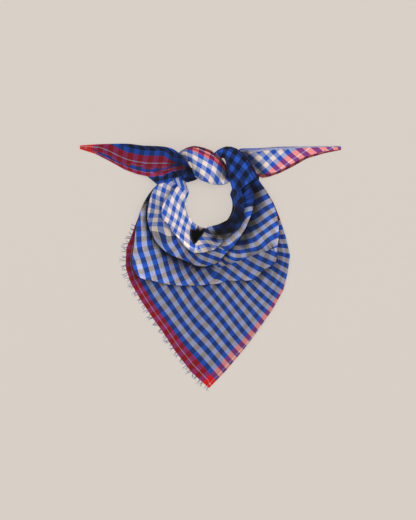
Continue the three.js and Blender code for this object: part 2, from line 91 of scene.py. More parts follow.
# Sections of the drape, by row: the way that each faces, in degrees from straight down, its lowest
# height in mm, reaches in plan units from the neck opening's middle, and mm between its layers
DRAPE_COLUMNS = (
    "turn", "low", "rim", "inner", "inner_deep", "roll", "roll_deep", "drape", "drape_deep", "hem",
    "back", "step",
)
DRAPE_ROWS = (
    (-122, 0, 26, 36, 0, 51, 6, 50.5, 6, 50, 48, 2.0),
    (-106, 0, 25, 40, 2, 57, 14, 58, 16, 57, 54, 2.3),
    (-90, 0, 25, 46, 7, 60, 22, 66, 28, 66, 62, 2.7),
    (-75, 0, 24, 48, 14, 63, 24, 74.5, 34, 76, 70, 3.0),
    (-62, 0, 24.5, 45, 14, 64, 24, 84.5, 36, 91.5, 86, 3.1),
    (-52, 0, 25, 45, 13, 64, 23, 97, 40, 101.5, 96, 3.1),
    (-44, 0, 27, 45, 12, 63.5, 22, 100, 38, 109, 104, 3.1),
    (-35, 0, 32, 46.5, 9, 62, 20, 93, 30, 117, 112, 3.0),
    (-27, 0, 38, 48.5, 6, 60.5, 18, 89, 26, 125.5, 120, 2.9),
    (-20, 0, 40.5, 50, 5, 60.5, 16, 85.5, 23, 135, 130, 2.8),
    (-13, 0, 31, 49, 9, 61.5, 18, 82.5, 21, 150, 145, 2.8),
    (-6, 0, 23.5, 47.5, 13, 61.5, 20, 80.5, 20, 168, 162, 2.8),
    (0, 0, 22, 46, 14, 60.5, 20, 79.5, 20, 183, 174, 2.8),
    (6, 0, 21.5, 45, 14, 59, 20, 79, 20, 166, 161, 2.9),
    (14, 0, 21.3, 41.5, 12, 54, 20, 78, 24, 147.5, 144, 2.9),
    (22, 0, 21.5, 38.5, 11, 50, 18, 81.5, 30, 133.5, 130, 3.0),
    (31, 0, 21.8, 37, 9, 47.5, 16, 86.5, 36, 122.5, 119, 3.1),
    (41, 0, 22.5, 36.5, 8, 45, 15, 85, 40, 113, 109, 3.2),
    (49, 0, 23.5, 37, 8, 43.5, 14, 87.5, 42, 104, 100, 3.2),
    (58, 0, 25, 37, 6, 43, 12, 80.5, 40, 95.5, 91.5, 3.2),
    (68, 0, 25.5, 36, 3, 42.5, 11, 75, 38, 82.5, 79, 3.1),
    (80, 0, 26, 35.5, 1, 43.5, 11, 69, 34, 71.5, 68.5, 2.9),
    (92, 0, 26, 35, 0, 44.5, 10, 63.5, 28, 64.5, 61.5, 2.6),
    (104, 2, 26.5, 35, 0, 46, 10, 58.5, 20, 59, 56, 2.3),
    (116, 6, 27, 35, 0, 46, 8, 55, 12, 55.5, 53, 2.0),
)

# Sections of the two strands: plan x and y of the middle, facing (degrees), width, turn (degrees),
# lowest height and step between layers (mm), then opened, spread and back if not CLOSED_STRAND
LIGHT_STRAND_ROWS = (
    (176, 180, 162, 20, 0, 0, 1.75),
    (178.5, 172, 156, 15, 0, 0, 1.7),
    (180.3, 164.5, 150, 13, 0, 0, 1.7),
    (182.8, 158, 132, 13.5, 0, 0.5, 1.7),
    (188.5, 155, 106, 14.5, 0, 8.5, 1.7),
    (192, 155.6, 91, 18, 0, 13, 1.7),
    (193.5, 156.8, 84, 21, 0, 15, 1.7),
    (195.5, 158.5, 76, 24, 0, 16.5, 1.7),
    (199.2, 161.2, 68, 27.5, 0, 17.4, 1.7),
    (203.5, 164.3, 61, 31, 0, 18, 1.7),
    (212.3, 170.2, 61, 27.5, 0, 16.5, 1.7),
    (219.2, 176.7, 64, 18, 0, 5.5, 1.7),
    (225.3, 179.2, 78, 11, 0, 1, 1.6),
    (230.3, 177.8, 92, 7, 0, 0, 1.5),
    (233, 175.8, 101, 6.1, 20, 0, 1.5),
    (235.2, 174.7, 107, 6.1, 40, 0, 1.5),
    (237.3, 173.4, 111, 6.1, 60, 0, 1.5),
    (239.3, 172.1, 114, 6.1, 80, 0, 1.5),
    (241.1, 170.9, 116, 6.1, 100, 0, 1.5),
    (242.8, 169.8, 117, 6.1, 120, 0, 1.5),
    (244.3, 168.8, 118, 6.3, 140, 0, 1.5),
    (245.8, 168, 118, 7, 160, 0, 1.5),
    (247, 167.2, 118, 9, 180, 0, 1.5),
    (249.2, 166.2, 117, 15, 180, 0, 2, 1, 0, 0.9),
    (251.5, 165.3, 116, 23, 180, 0, 1.1, 1, 1, 0.85),
    (256, 164, 115, 31, 180, 0, 0.7, 1, 1, 0.88),
    (264, 162.5, 113, 30.5, 180, 0, 0.4, 1, 1, 0.92),
    (276, 160, 109, 27, 180, 0, 0, 1, 1, 0.92),
    (291, 156.5, 105, 20, 180, 0, 0, 1, 1, 0.86),
    (306, 152.5, 100, 12, 180, 0, 0, 1, 1, 0.8),
    (324, 149.8, 97, 7, 180, 0, 0, 1, 1, 0.72),
    (341, 148.2, 94, 3.4, 180, 0, 0, 1, 1, 0.8),
)
DARK_STRAND_ROWS = (
    (245.5, 182.7, 23, 29.5, 0, 10.5, 1.85),
    (243.5, 178.5, 20, 28, 0, 14.5, 1.7),
    (240, 169.5, 28, 26, 0, 18.5, 1.65),
    (236, 162, 38, 23, 0, 19, 1.65),
    (231, 155.5, 50, 17, 0, 14, 1.65),
    (228.2, 153.5, 63, 14.5, 0, 10, 1.65),
    (225, 152.5, 78, 12, 0, 6, 1.6),
    (219.5, 154, 106, 9, 0, 0.5, 1.5),
    (215.5, 156.3, 126, 7, 0, 0, 1.5),
    (213.5, 158, 130, 6.1, 20, 0, 1.5),
    (211.5, 160, 133, 6.1, 40, 0, 1.5),
    (209.6, 162, 134, 6.1, 60, 0, 1.5),
    (207.8, 163.9, 133, 6.1, 80, 0, 1.5),
    (206, 165.7, 132, 6.1, 100, 0, 1.5),
    (204.2, 167.4, 130, 6.1, 120, 0, 1.5),
    (202.4, 169, 127, 6.3, 140, 0, 1.5),
    (200.8, 170.3, 124, 7, 160, 0, 1.5),
    (199.3, 171.3, 120, 8, 180, 0, 1.5),
    (196.5, 172.9, 112, 12, 180, 1.5, 2, 1, 0, 0.9),
    (193.3, 174.6, 104, 12.5, 180, 7.5, 0.8, 1, 1, 0.9),
    (187.5, 172.5, 92, 20.5, 180, 16, 0.6, 1, 1, 0.85),
    (179, 166, 84, 23, 180, 16.6, 0.4, 1, 1, 0.8),
    (170, 165.8, 80, 33, 180, 16.5, 0.3, 1, 1, 0.66),
    (161, 166, 78, 38, 180, 15.5, 0.2, 1, 1, 0.66),
    (151, 161.5, 77, 31, 180, 9.5, 0.1, 1, 1, 0.78),
    (140, 160, 78, 29, 180, 3.5, 0, 1, 1, 0.84),
    (127, 156.8, 79, 26, 180, 0, 0, 1, 1, 0.84),
    (112, 152.8, 80, 18, 180, 0, 0, 1, 1, 0.82),
    (96, 149.2, 82, 9.5, 180, 0, 0, 1, 1, 0.8),
    (80, 147.3, 84, 3.4, 180, 0, 0, 1, 1, 0.8),
)
CLOSED_STRAND = (0, 0, 1)
# Where a strand's folds turn, as shares of half its width
STRAND_FOLDS = {
    "rim": -1, "back_rim": -1, "inner": 0.55, "inner_deep": 1.4, "roll": 0.8, "roll_deep": 1.66,
    "drape": 0.92, "drape_deep": 1.79, "hem": 1,
}

# Puffs of the drape: plan x and y, size in plan units, rise as a share of the height
PUFF_ROWS = (
    (160, 222, 22, 0.18),
    (203, 262, 16, 0.16),
    (262, 225, 24, 0.2),
    (148, 262, 16, 0.22),
    (226, 300, 30, 0.35),
    (180, 320, 22, 0.3),
    (262, 262, 14, 0.18),
)

FIRST_DRAPE = len(LIGHT_STRAND_ROWS)
FRONT_CORNER = FIRST_DRAPE + 12  # the drape row that points straight down
FIRST_DARK = FIRST_DRAPE + len(DRAPE_ROWS)
LAST_STATION = FIRST_DARK + len(DARK_STRAND_ROWS) - 1
# The stations where each part shows, from and to
RIGHT_TAIL, WRAP, DRAPE = (0, 9), (18, 28), (29, FIRST_DARK + 7)
RIGHT_NECK = (FIRST_DARK - 1, FIRST_DARK + 7)
LEFT_TAIL = (FIRST_DARK + 17, LAST_STATION)
LEFT_TAIL_SHOWS = FIRST_DARK + 9

# Thread directions of the cloth where it lies flat at the front corner, in degrees
EDGE_LEFT = 130.7  # along the left hem, from the front corner: u grows this way
EDGE_RIGHT = 43.4  # along the right hem: v grows this way
CROSSING = EDGE_LEFT - EDGE_RIGHT
RIGHT_TAIL_WAY = -60.0  # the u direction on the right tail

# Turn of the threads against the front corner, in degrees, by drape row
COLLAR_TURNS = {
    1: {0: -60, 2: -45, 3: -38, 4: -36, 6: -33, 8: -26, 10: -18, 12: -8, 14: 4, 15: 10, 16: 18,
        17: 22, 18: 30, 19: 45, 20: 58, 21: 64, 22: 68, 23: 72, 24: 78},
    2: {0: -70, 2: -55, 3: -50, 4: -48, 6: -42, 8: -35, 10: -22, 12: -10, 14: -2, 16: 4, 18: 8,
        19: 14, 20: 24, 21: 40, 22: 52, 23: 62, 24: 70},
    3: {0: -95, 2: -85, 4: -80, 6: -78, 8: -72, 10: -62, 12: -40, 14: -20, 16: -10, 18: 0, 20: 20,
        22: 45, 24: 70},
}
# The front panel follows its hems: u direction on the left rows, v direction on the right rows
LEFT_HEM_WAYS = {0: 69, 2: 69, 3: 71, 4: 83, 5: 99, 6: 112, 7: 120, 8: 124, 9: 125, 10: 127.5,
                 11: 130, 12: 130.7}
RIGHT_HEM_WAYS = {12: 43.4, 13: 46, 14: 49, 15: 52, 16: 55, 17: 62, 18: 74, 19: 90, 20: 104,
                  21: 110, 22: 115, 23: 122, 24: 126}

# Pinned cloth places, in mm from the front corner: (station, u or None, v or None), by face
CLOTH_PINS = {
    0: [(FRONT_CORNER, 6, -1)]
    + [(FIRST_DRAPE + k, None, -2.6) for k in range(0, 12)]
    + [
        (FIRST_DRAPE + k, u, None)
        for k, u in zip(range(13, 25), (6, 8, 10.5, 13, 18, 27, 30, 28, 21, 18, 16, 16))
    ],
    1: [(FRONT_CORNER, 216, 178)],
    2: [(FIRST_DRAPE + 5, 363, None), (FIRST_DRAPE + 19, None, 365)],
    3: [(FIRST_DRAPE + 14, 372.5, None), (FIRST_DRAPE + 16, None, 372.5)],
    4: [(FRONT_CORNER, 727, 727)],
}
# The same on the wrap: its one pinned station, and how far in from the hem each face starts, as a
# share of the strand's width
WRAP_PIN = (22, 600, None)
WRAP_INSETS = {0: 0.0, 1: 0.04, 2: 0.1, 3: 0.225, 4: 0.0}
# The same on the tails, by their span of stations and the face
TAIL_PINS = {
    (RIGHT_TAIL, 0): (0, CLOTH_SIDE, 0),
    (RIGHT_TAIL, 4): (5, CLOTH_SIDE, 170),
    (LEFT_TAIL, 0): (LAST_STATION, 0, CLOTH_SIDE),
    (LEFT_TAIL, 4): (LAST_STATION, 0, CLOTH_SIDE),
}

# Where the checks fall, by region: plan x and y, u and v there, then for u and for v the way that
# it grows, in degrees, and the width of a pair of checks in plan units
CHECK_ANCHORS = {
    "front": (
        (210, 360, 43.3, 40.7, 136, 10.8, 41, 10.8),
        (205, 330, 89.6, 70.5, 130, 10.6, 42, 10.8),
        (222, 345, 45.9, 76.5, 137, 9.4, 40, 10.0),
        (195, 345, 82.4, 38.6, 130, 11.0, 43, 10.8),
        (180, 325, 129.7, 40.8, 129, 10.6, 37, 10.2),
        (205, 305, 125.0, 100.8, 133, 9.8, 40, 10.2),
        (165, 310, 168.3, 35.2, 128, 11.0, 35, 11.4),
        (180, 300, 164.0, 68.6, 136, 11.0, 33, 10.2),
        (150, 300, 199.7, 24.5, 122, 10.8, 31, 11.2),
        (230, 330, 55.5, 107.1, 134, 10.0, 38, 9.8),
        (230, 300, 96.7, 144.2, 136, 10.0, 39, 9.4),
        (245, 322, 46.1, 140.7, 132, 9.6, 38, 9.8),
        (250, 300, 68.3, 177.1, 139, 9.6, 43, 8.8),
        (262, 295, 56.6, 204.4, 141, 10.2, 48, 8.8),
        (273, 285, 51.3, 233.3, 145, 10.2, 52, 10.2),
    ),
    "drape": (
        (175, 272, 230.0, 157.0, 116, 10.2, 23, 9.8),
        (160, 265, 253.1, 132.2, 109, 10.2, 16, 10.4),
        (150, 255, 277.3, 119.7, 109, 10.2, 16, 10.4),
        (143, 240, 307.5, 113.6, 94, 10.2, 1, 10.4),
        (195, 274, 206.8, 192.0, 128, 10.2, 35, 8.8),
        (235, 270, 156.6, 251.9, 147, 10.2, 54, 9.2),
        (250, 264, 138.3, 280.1, 150, 10.2, 57, 9.8),
        (262, 262, 119.6, 294.3, 158, 10.2, 65, 9.8),
    ),
    "drape_right": (
        (262, 240, 123.4, 288.1, 221, 10.2, 128, 9.0),
        (266, 225, 98.7, 310.1, 223, 10.2, 130, 7.8),
        (262, 210, 85.5, 341.6, 220, 10.2, 127, 9.6),
        (261, 198, 74.6, 359.7, 207, 10.2, 114, 10.8),
        (246, 250, 158.0, 283.9, 193, 10.2, 100, 7.6),
    ),
    "roll": (
        (157, 207, 428.0, 116.0, 64, 9.4, -5, 7.2),
        (156, 220, 398.6, 115.7, 98, 9.6, -14, 10.6),
        (163, 230, 376.9, 126.7, 60, 12.2, 20, 11.4),
        (176, 248, 348.8, 138.9, 133, 10.2, 40, 9.6),
        (190, 256, 319.0, 157.3, 142, 10.2, 49, 7.8),
        (206, 260, 289.1, 171.3, 166, 10.2, 73, 6.8),
        (220, 252, 267.2, 200.0, 165, 10.2, 72, 8.2),
    ),
    "roll_right": (
        (243, 226, 280.0, 348.1, 239, 10.2, 146, 11.0),
        (234, 240, 311.1, 345.9, 223, 10.2, 130, 10.6),
    ),
    "neck_right": (
        (235, 170, 297.0, 438.5, 231, 11.0, 149, 9.8),
        (230, 160, 287.7, 456.6, 234, 9.0, 157, 9.4),
    ),
    "inner": (
        (172, 195, 595.0, 127.2, 37, 10.2, -24, 7.0),
        (174, 205, 586.5, 141.7, 44, 9.6, -11, 6.8),
        (178, 216, 574.5, 157.3, 48, 8.0, -9, 6.8),
        (182, 228, 558.7, 177.0, 45, 6.8, -7, 6.8),
        (186, 238, 545.0, 191.4, 50, 6.8, 6, 12.8),
    ),
    "inner_right": (
        (206, 242, 409.4, 334.8, 230, 8.2, 132, 6.8),
        (215, 235, 378.0, 374.0, 230, 9.0, 136, 7.6),
        (222, 232, 358.0, 388.0, 228, 9.4, 138, 8.4),
        (238, 208, 322.0, 412.0, 236, 10.4, 146, 9.6),
    ),
    "wrap": (
        (200, 165, 600.4, 50.1, 346, 11.4, 227, 9.6),
        (210, 170, 620.9, 44.5, 347, 9.8, 231, 9.4),
        (192, 158, 582.9, 54.9, 363, 9.4, 197, 9.0),
        (218, 171, 637.8, 39.0, 354, 9.6, 212, 12.0),
        (188, 149.5, 580.0, 9.0, 0, 9.6, 247, 6.0),
        (196, 148, 593.0, 4.0, 354, 9.6, 250, 6.5),
        (207, 155, 608.0, 13.0, 347, 9.8, 240, 8.4),
        (216, 159, 626.0, 14.0, 348, 9.8, 236, 8.4),
        (205, 151, 602.9, 4.0, 346, 11.0, 242, 7.6),
        (212, 154.5, 617.9, 4.0, 347, 9.8, 242, 7.6),
        (222, 160, 639.5, 4.0, 350, 9.8, 232, 7.6),
    ),
    "right_tail": (
        (270, 158, 699.9, 235.3, 310, 10.4, 226, 9.2),
        (280, 168, 733.2, 237.6, 303, 10.4, 229, 9.4),
        (290, 161, 733.2, 213.5, 303, 10.4, 232, 9.4),
        (300, 155, 733.2, 191.0, 303, 10.4, 234, 9.8),
        (312, 147, 735.0, 167.0, 303, 10.4, 234, 9.8),
        (260, 158, 687.8, 249.3, 316, 10.8, 228, 11.0),
    ),
}
ANCHOR_REACH = 9.0  # plan units over which one anchor hands over to the next
ANCHOR_HOLD = 26.0  # plan units over which an anchor's own ways hold
# The left tail: plan x, then y of its hem's cream line and of the strip's red edge under it
TAIL_X = (85, 100, 110, 120, 127, 135, 145, 150, 155, 160, 165, 171, 179, 184)
TAIL_CREAM_Y = (
    146.4, 147.5, 151.5, 156.5, 159.5, 161.5, 163.2, 163.5, 163.7, 163.7, 163.7, 163.8, 164,
    164,
)
TAIL_STRIP_Y = (150, 156.5, 161.5, 166, 169, 172, 174.5, 175, 174.7, 174, 172.8, 170.7, 169, 168.5)
TAIL_TIP_X = 85.1
TAIL_PAIR_RATE = 2.15  # mm of u to a plan unit
TAIL_BAND_ABOVE, TAIL_BAND_UNDER = 7.5, 4.8  # the hem band's reach on each side of its cream line
TAIL_BAND_CLOSES = (162, 177)  # plan x over which the band narrows to nothing
BORDER_PLACE = CLOTH_SIDE - BORDER_WIDTH
CREAM_PLACE = CLOTH_SIDE - BORDER_WIDTH * CREAM_SHARE
CREAM_TO_HEM = 8.8
TAIL_STRIP_ACROSS = (-2.4, -1.7, -1.5, 1.6)  # plan units from the strip's red edge
TAIL_STRIP_PLACES = (730.0, 735.0, 736.0, 741.0)
TAIL_STRIP_STOP, LEFT_TAIL_STOP = 185, 203  # plan x

# The seam where the drape's left and right checks meet, and what stands for no seam
DRAPE_PARTING = ((196, 262), (205, 262), (214, 269), (236, 262), (256, 254), (266, 251), (290, 243))
NO_PARTING = -50.0

# How far the rows are moved to where the photo shows them: plan units, and mm down
WRAP_OUT, TAIL_IN, HEM_OUT = 5.0, 11.0, 3.2
WRAP_DOWN, LOWEST_WRAP = 7.0, 0.6
# Where that happens: stations, then plan windows as a rise and a fall, each from and to
WRAP_EDGE, WRAP_EDGE_X, WRAP_EDGE_Y = (17.5, 23.5), (216, 223), ((150, 155), (176, 182))
TAIL_INNER, TAIL_INNER_X = (5.5, 11.5), ((232, 246), (250, 266))
TAIL_INNER_Y = (162, 178)
LEFT_HEM, LEFT_HEM_Y = (31.5, FRONT_CORNER - 0.5), 268
LEFT_HEM_REACH = 28.0  # mm from the hem
LEFT_HEM_TALL = 26  # plan units

# Creases on the visible faces: face, height mm, width mm, then the points in plan units
CREASE_LINES = (
    (1, 1.6, 5, ((134, 225), (136, 240), (141, 255), (146, 266))),
    (1, 1.3, 5, ((143, 200), (141, 222), (148, 246), (160, 262))),
    (1, 1.2, 5, ((158, 255), (172, 268), (192, 276))),
    (1, 1.4, 5, ((214, 270), (236, 262), (256, 254))),
    (1, 1.5, 5, ((262, 200), (270, 222), (272, 244))),
    (1, 1.2, 4, ((255, 215), (262, 236), (258, 250))),
    (2, 1.6, 5, ((157, 196), (154, 214), (160, 232), (172, 246))),
    (2, 1.5, 5, ((176, 248), (192, 258), (206, 260))),
    (2, 1.4, 4, ((214, 254), (230, 242), (241, 226))),
    (3, 1.5, 5, ((172, 196), (174, 214), (182, 232), (192, 246))),
    (3, 1.2, 4, ((180, 190), (181, 210), (187, 228))),
    (3, 1.2, 2.4, ((174, 232), (187, 246), (196, 249), (209, 246))),
    (3, 1.0, 2.4, ((178, 228), (189, 243), (196, 246), (204, 243))),
    (1, 1.5, 2.6, ((136, 236), (139, 250), (137, 262), (142, 274))),
    (1, 1.4, 2.6, ((276, 222), (275, 238), (272, 250))),
    (2, 1.1, 2.6, ((152, 226), (164, 241), (182, 253), (200, 262))),
    (0, 1.2, 3, ((262, 286), (244, 292), (236, 300))),
    (0, 1.6, 9, ((150, 300), (180, 335), (203, 372))),
    (0, 1.4, 9, ((262, 292), (236, 330), (214, 366))),
    (0, 1.0, 8, ((172, 292), (205, 302), (240, 296))),
)
# Shade in the folds: face, stations from and to, depth, width and line in plan units
SHADE_LINES = (
    (4, 0, 9, 0.9, 4.5, ((243, 150), (250, 158), (258, 167), (263, 178))),
    (3, 44, 57, 1.0, 7, ((216, 236), (224, 235), (233, 226), (240, 210))),
    (1, 44, 57, 1.0, 6, ((253, 208), (250, 226), (243, 244))),
    (3, 44, 57, 1.15, 5, ((215, 238), (219, 231), (225, 226), (232, 218))),
    (1, 38, 48, 0.5, 9, ((158, 247), (176, 264), (200, 272), (222, 270))),
    (2, 32, 42, 0.3, 9, ((157, 203), (155, 220), (160, 238))),
    (2, 40, 50, 0.3, 8, ((182, 254), (200, 260), (216, 260))),
    (0, 29, 64, 0.24, 400, ((209, 300), (209, 340))),
    (1, 44, 57, 0.35, 12, ((228, 270), (250, 263), (266, 258))),
    (3, 38, 50, 0.5, 7, ((204, 232), (213, 238), (208, 247))),
    (4, 66, 87, 0.36, 400, ((120, 160), (150, 160))),
    (0, 36, 44, 0.5, 5, ((131, 270), (136, 281), (150, 286))),
    (0, 44, 57, 0.6, 5, ((279, 256), (276, 268), (262, 276), (240, 283))),
    (1, 30, 36, 1.1, 5, ((145, 203), (151, 191), (160, 184))),
    (3, 57, 64, 0.4, 2.5, ((230, 158), (243, 180))),
    (3, 57, 64, 0.4, 2, ((226, 166), (238, 184), (240, 196))),
    (2, 55, 64, 0.6, 4, ((240, 184), (258, 180))),
    (3, 50, 57, 0.5, 3, ((238, 186), (243, 200), (240, 214))),
    (1, 29, 64, 0.6, 3, ((216, 267), (236, 260), (256, 252), (266, 249), (277, 246))),
    (3, 57, 64, 0.7, 3, ((224, 158), (227, 170), (228, 182))),
    (3, 18, 28, 0.5, 3, ((184, 156), (192, 168), (200, 178))),
    (4, 66, 86, 0.9, 9, ((176, 164), (186, 168), (196, 176))),
    (4, 66, 86, 0.7, 4, ((170, 164), (184, 160), (190, 155))),
    (2, 50, 57, 0.6, 6, ((252, 190), (256, 205))),
    (1, 50, 57, 0.9, 8, ((255, 188), (256, 205), (252, 225))),
    (1, 32, 44, 1.25, 3.6, ((150, 200), (148, 222), (153, 237), (163, 250), (181, 261),
     (200, 268))),
)
# Painted highlights, pale lines along the fold edges: face, strength, width and line in plan units
PAINTED_HIGHLIGHT_LINES = (
    (1, 0.3, 1.3, ((147, 192), (137, 215), (133, 235), (130, 258), (132, 270), (140, 277),
     (155, 280))),
    (1, 0.4, 1.0, ((137, 240), (140, 252), (138, 264), (143, 273))),
    (1, 0.45, 1.0, ((279, 220), (278, 236), (276, 250))),
    (1, 0.35, 1.0, ((214, 266), (236, 258), (256, 250), (270, 246))),
    (3, 0.35, 1.0, ((184, 186), (185, 200), (190, 222), (195, 241), (200, 232))),
    (3, 0.4, 0.9, ((178, 236), (188, 246), (196, 249), (207, 246))),
)
# Cloth taken up by the hidden pleats beyond the tables, in plan units
PLEAT_SLACK = {"drape": 40.0, "roll": 26.0, "inner": 14.0}
PLEAT_ROOM = 2.5  # least width left between a pleat and the rim
BACK_RIM = 23.5
SLACK_BY_ROW = {0: 0.0, 1: 0.6, 2: 1.0, 22: 1.0, 23: 0.7, 24: 0.0}
FACE_LOFT = {0: 1.0, 1: 4.0, 2: 6.0, 3: 4.0}  # mm that each visible fold puffs up
TUCK_DEPTH = {0: 0.6, 1: 1.0, 2: 0.4, 3: 0.0}  # shade where a fold dives under the next
FULL_SHARE = 0.625  # share of a run that its fullness takes
# Shade that the lines above don't give, as shares; light is taken off the shade
HIDDEN_SHADE = 0.5  # inside the pleats
SHADE_REACH = 11.0  # mm from the fold that covers a face, where TUCK_DEPTH's shade ends
CREST_LIGHT = 0.22
WALL_SHADE, POCKET_SHADE = 0.35, 1.7
BACK_SHADE, WRAP_SHADE = 0.3, 0.9
TAIL_LIGHT, LEFT_TAIL_SHARE = 0.2, 0.3
# Painted shade, nearly black, in the pocket of the wall round the neck opening: stations, and plan
# y from and to
POCKET_STATIONS = ((35.5, 37.5), (50, 53))
POCKET_Y = (228.5, 231)

RUN_CUTS = (16, 6, 12, 5, 12, 5, 12)
CREST_ANGLES = (-90, -62, -32, 0, 32, 62, 90)
PLEAT_ANGLES = (-90, -45, 0, 45, 90)
WALL_CUTS = 6
BACK_CUTS = 10
# Rounding where the sheet turns down: its share of the height, its most in mm, and how far its
# middle point is cut in, as a share
CORNER_SHARE, CORNER_MOST, CORNER_CUT = 0.32, 3, 0.29
NO_COVER = -1000.0
ROW_SPACING = 2.4  # mm between draped rows, along the guide
STRAND_ROW_SPACING = ROW_SPACING * 1.6
CORNER_ROWS = 8  # rows to a station at the front corner

DISPLAY_GAMMA = 2.2
TUFT = 5  # loose threads in a tuft
THREAD_BENDS = (-0.25, -0.1, 0.05, 0.2, 0.35)
GOLDEN_ANGLE = 2.399
HEM_UPPER_WAY = -75  # degrees from straight down to the frayed hem's upper end

Column = namedtuple("Column", "kind fold place face")  # place: share of a run, or angle in a fold
Station = namedtuple("Station", "points outward uncovered showing")
Grid = namedtuple("Grid", "points places shade beyond parting")


def smooth(low, high, value):
    """An even rise from 0 at low to 1 at high."""
    share = np.clip((value - low) / (high - low), 0.0, 1.0)
    return share * share * (3 - 2 * share)


def window(rise, fall, value):
    """1 between a rise and a fall, each given as from and to."""
    return smooth(*rise, value) * (1 - smooth(*fall, value))


def bell(distance, width):
    """1 at no distance, and about a third at one width."""
    return np.exp(-((distance / width) ** 2))


def blend(a, b, share):
    return a * (1 - share) + b * share


def along_table(table, keys):
    places = sorted(table)
    return np.interp(keys, places, [table[k] for k in places])


def plan_to_mm(x, y):
    return np.array(((x - ORIGIN_X) * PLAN_UNIT, (ORIGIN_Y - y) * PLAN_UNIT))


def mm_to_plan(points):
    return points[..., 0] / PLAN_UNIT + ORIGIN_X, ORIGIN_Y - points[..., 1] / PLAN_UNIT


def column_plan():
    """The columns of a section, from the front hem round every fold to the back hem."""
    columns = []
    for run, cuts in enumerate(RUN_CUTS):
        shown = run % 2 == 0  # the other runs are hidden in a pleat
        for k in range(0 if run == 0 else 1, cuts):
            face = run / 2 if shown else (run - 1) / 2 + k / cuts
            columns.append(Column("run", run, k / cuts, face))
        if run < 6 and shown:
            columns += [Column("pleat", run, angle, run / 2) for angle in PLEAT_ANGLES]
        elif run < 6:
            columns += [Column("crest", run, angle, (run + 1) / 2) for angle in CREST_ANGLES]
    columns += [Column("wall", k, 0.0, 3.0) for k in range(3)]
    columns += [Column("wall", 2, k / WALL_CUTS, 3.0) for k in range(1, WALL_CUTS)]
    columns += [Column("wall", k, 0.0, 3.0) for k in range(3, 6)]
    columns += [Column("back", 0, k / BACK_CUTS, 4.0) for k in range(1, BACK_CUTS + 1)]
    return columns


COLUMNS = column_plan()
COLUMN_FACE = np.array([c.face for c in COLUMNS])
ON_A_FACE = np.abs(COLUMN_FACE - np.round(COLUMN_FACE)) < 0.01


def on_face(number):
    """Whether each column lies on this visible face of the cloth."""
    return np.abs(COLUMN_FACE - number) < 0.01


def columns_of(*kinds):
    return np.array([c.kind in kinds for c in COLUMNS])


def columns_in_run(run):
    return [i for i, c in enumerate(COLUMNS) if c.kind == "run" and c.fold == run]


def within(station, span):
    """Whether each row lies in a span of stations, as a column of the grid."""
    return ((station > span[0] - 0.5) & (station < span[1] + 0.5))[:, None]


def guide_column(face):
    """The column that a face's cloth place is counted from: its hem, or the middle of its crest."""
    if face in (0, 4):
        return 0 if face == 0 else len(COLUMNS) - 1
    return COLUMNS.index(Column("crest", 2 * face - 1, 0, face))


def section_points(reach, levels, opened, spread):
    """Outward and upward mm of every column of one section of the sheet."""
    turns = []
    for fold in ("drape", "roll", "inner"):
        turns += [(reach[fold] - reach[fold + "_deep"] * (1 - opened), -1), (reach[fold], 1)]
    ends = []
    for i, (at, side) in enumerate(turns):
        before = turns[i - 1][0] if i else reach["hem"]
        after = turns[i + 1][0] if i < 5 else reach["rim"]
        low, high = levels(i + 1), levels(i + 2)
        bulge = min(abs(high - low) * 0.62, min(abs(before - at), abs(after - at)) * 0.45)
        lift = RUN_TILT * opened * (high - low)
        points = {}
        for angle in CREST_ANGLES if side > 0 else PLEAT_ANGLES:
            share = (math.sin(math.radians(angle)) + 1) / 2
            rise = blend(low, high, share) + (lift * (1 - share) if side > 0 else -lift * share)
            points[angle] = (at + side * bulge * (math.cos(math.radians(angle)) - 1), rise)
        ends.append(points)
    rim, back_rim, top, bottom = reach["rim"], reach["back_rim"], levels(7), levels(0)
    rounding = min(abs(top - bottom) * CORNER_SHARE, CORNER_MOST)
    drop = math.copysign(rounding, bottom - top)
    out = min(rounding, abs(ends[5][90][0] - rim) * 0.5)
    wall = [
        (rim + out, top),
        (rim + out * CORNER_CUT, top + drop * CORNER_CUT),
        (rim, top + drop),
        (back_rim, bottom - drop),
        (back_rim + out * CORNER_CUT, bottom - drop * CORNER_CUT),
        (back_rim + out, bottom),
    ]
    hem_level = levels(reach["hem_level"])
    points = []
    for kind, fold, place, _face in COLUMNS:
        if kind == "run":
            start = ends[fold - 1][90] if fold else (reach["hem"], hem_level)
            stop = wall[0] if fold == 6 else ends[fold][-90]
            up = blend(start[1], stop[1], place)
            if fold == 0:
                up = blend(hem_level, levels(1), float(smooth(0.0, 0.16, place)))
            points.append((blend(start[0], stop[0], place), up))
        elif kind in ("pleat", "crest"):
            points.append(ends[fold][place])
        elif kind == "wall":
            a, b = wall[fold], wall[min(fold + 1, 5)]
            aside, below = place**2.2, 1 - (1 - place) ** 2.5
            points.append((blend(a[0], b[0], aside), blend(a[1], b[1], below)))
        else:
            points.append((blend(wall[5][0], reach["back"], place), bottom))
    points = np.array(points)
    front = int(np.sum(columns_of("run", "pleat", "crest")))
    even = reach["hem"] + (rim + out - reach["hem"]) * np.arange(front) / front
    points[:front, 0] = blend(points[:front, 0], even, spread)
    return points


def layer_levels(lowest, step):
    """Heights of a section's layers: 0 is the back half, and 1 to 7 are the front half's runs."""
    return lambda k: lowest if k <= 0 else lowest + BACK_GAP + (k - 1) * step


def past_cover(reach, outward):
    """How far each column lies outside the fold that covers it, in mm."""
    faces = [COLUMN_FACE < 0.5, COLUMN_FACE < 1.5, COLUMN_FACE < 2.5]
    return outward - np.select(faces, [reach["drape"], reach["roll"], reach["inner"]], NO_COVER)


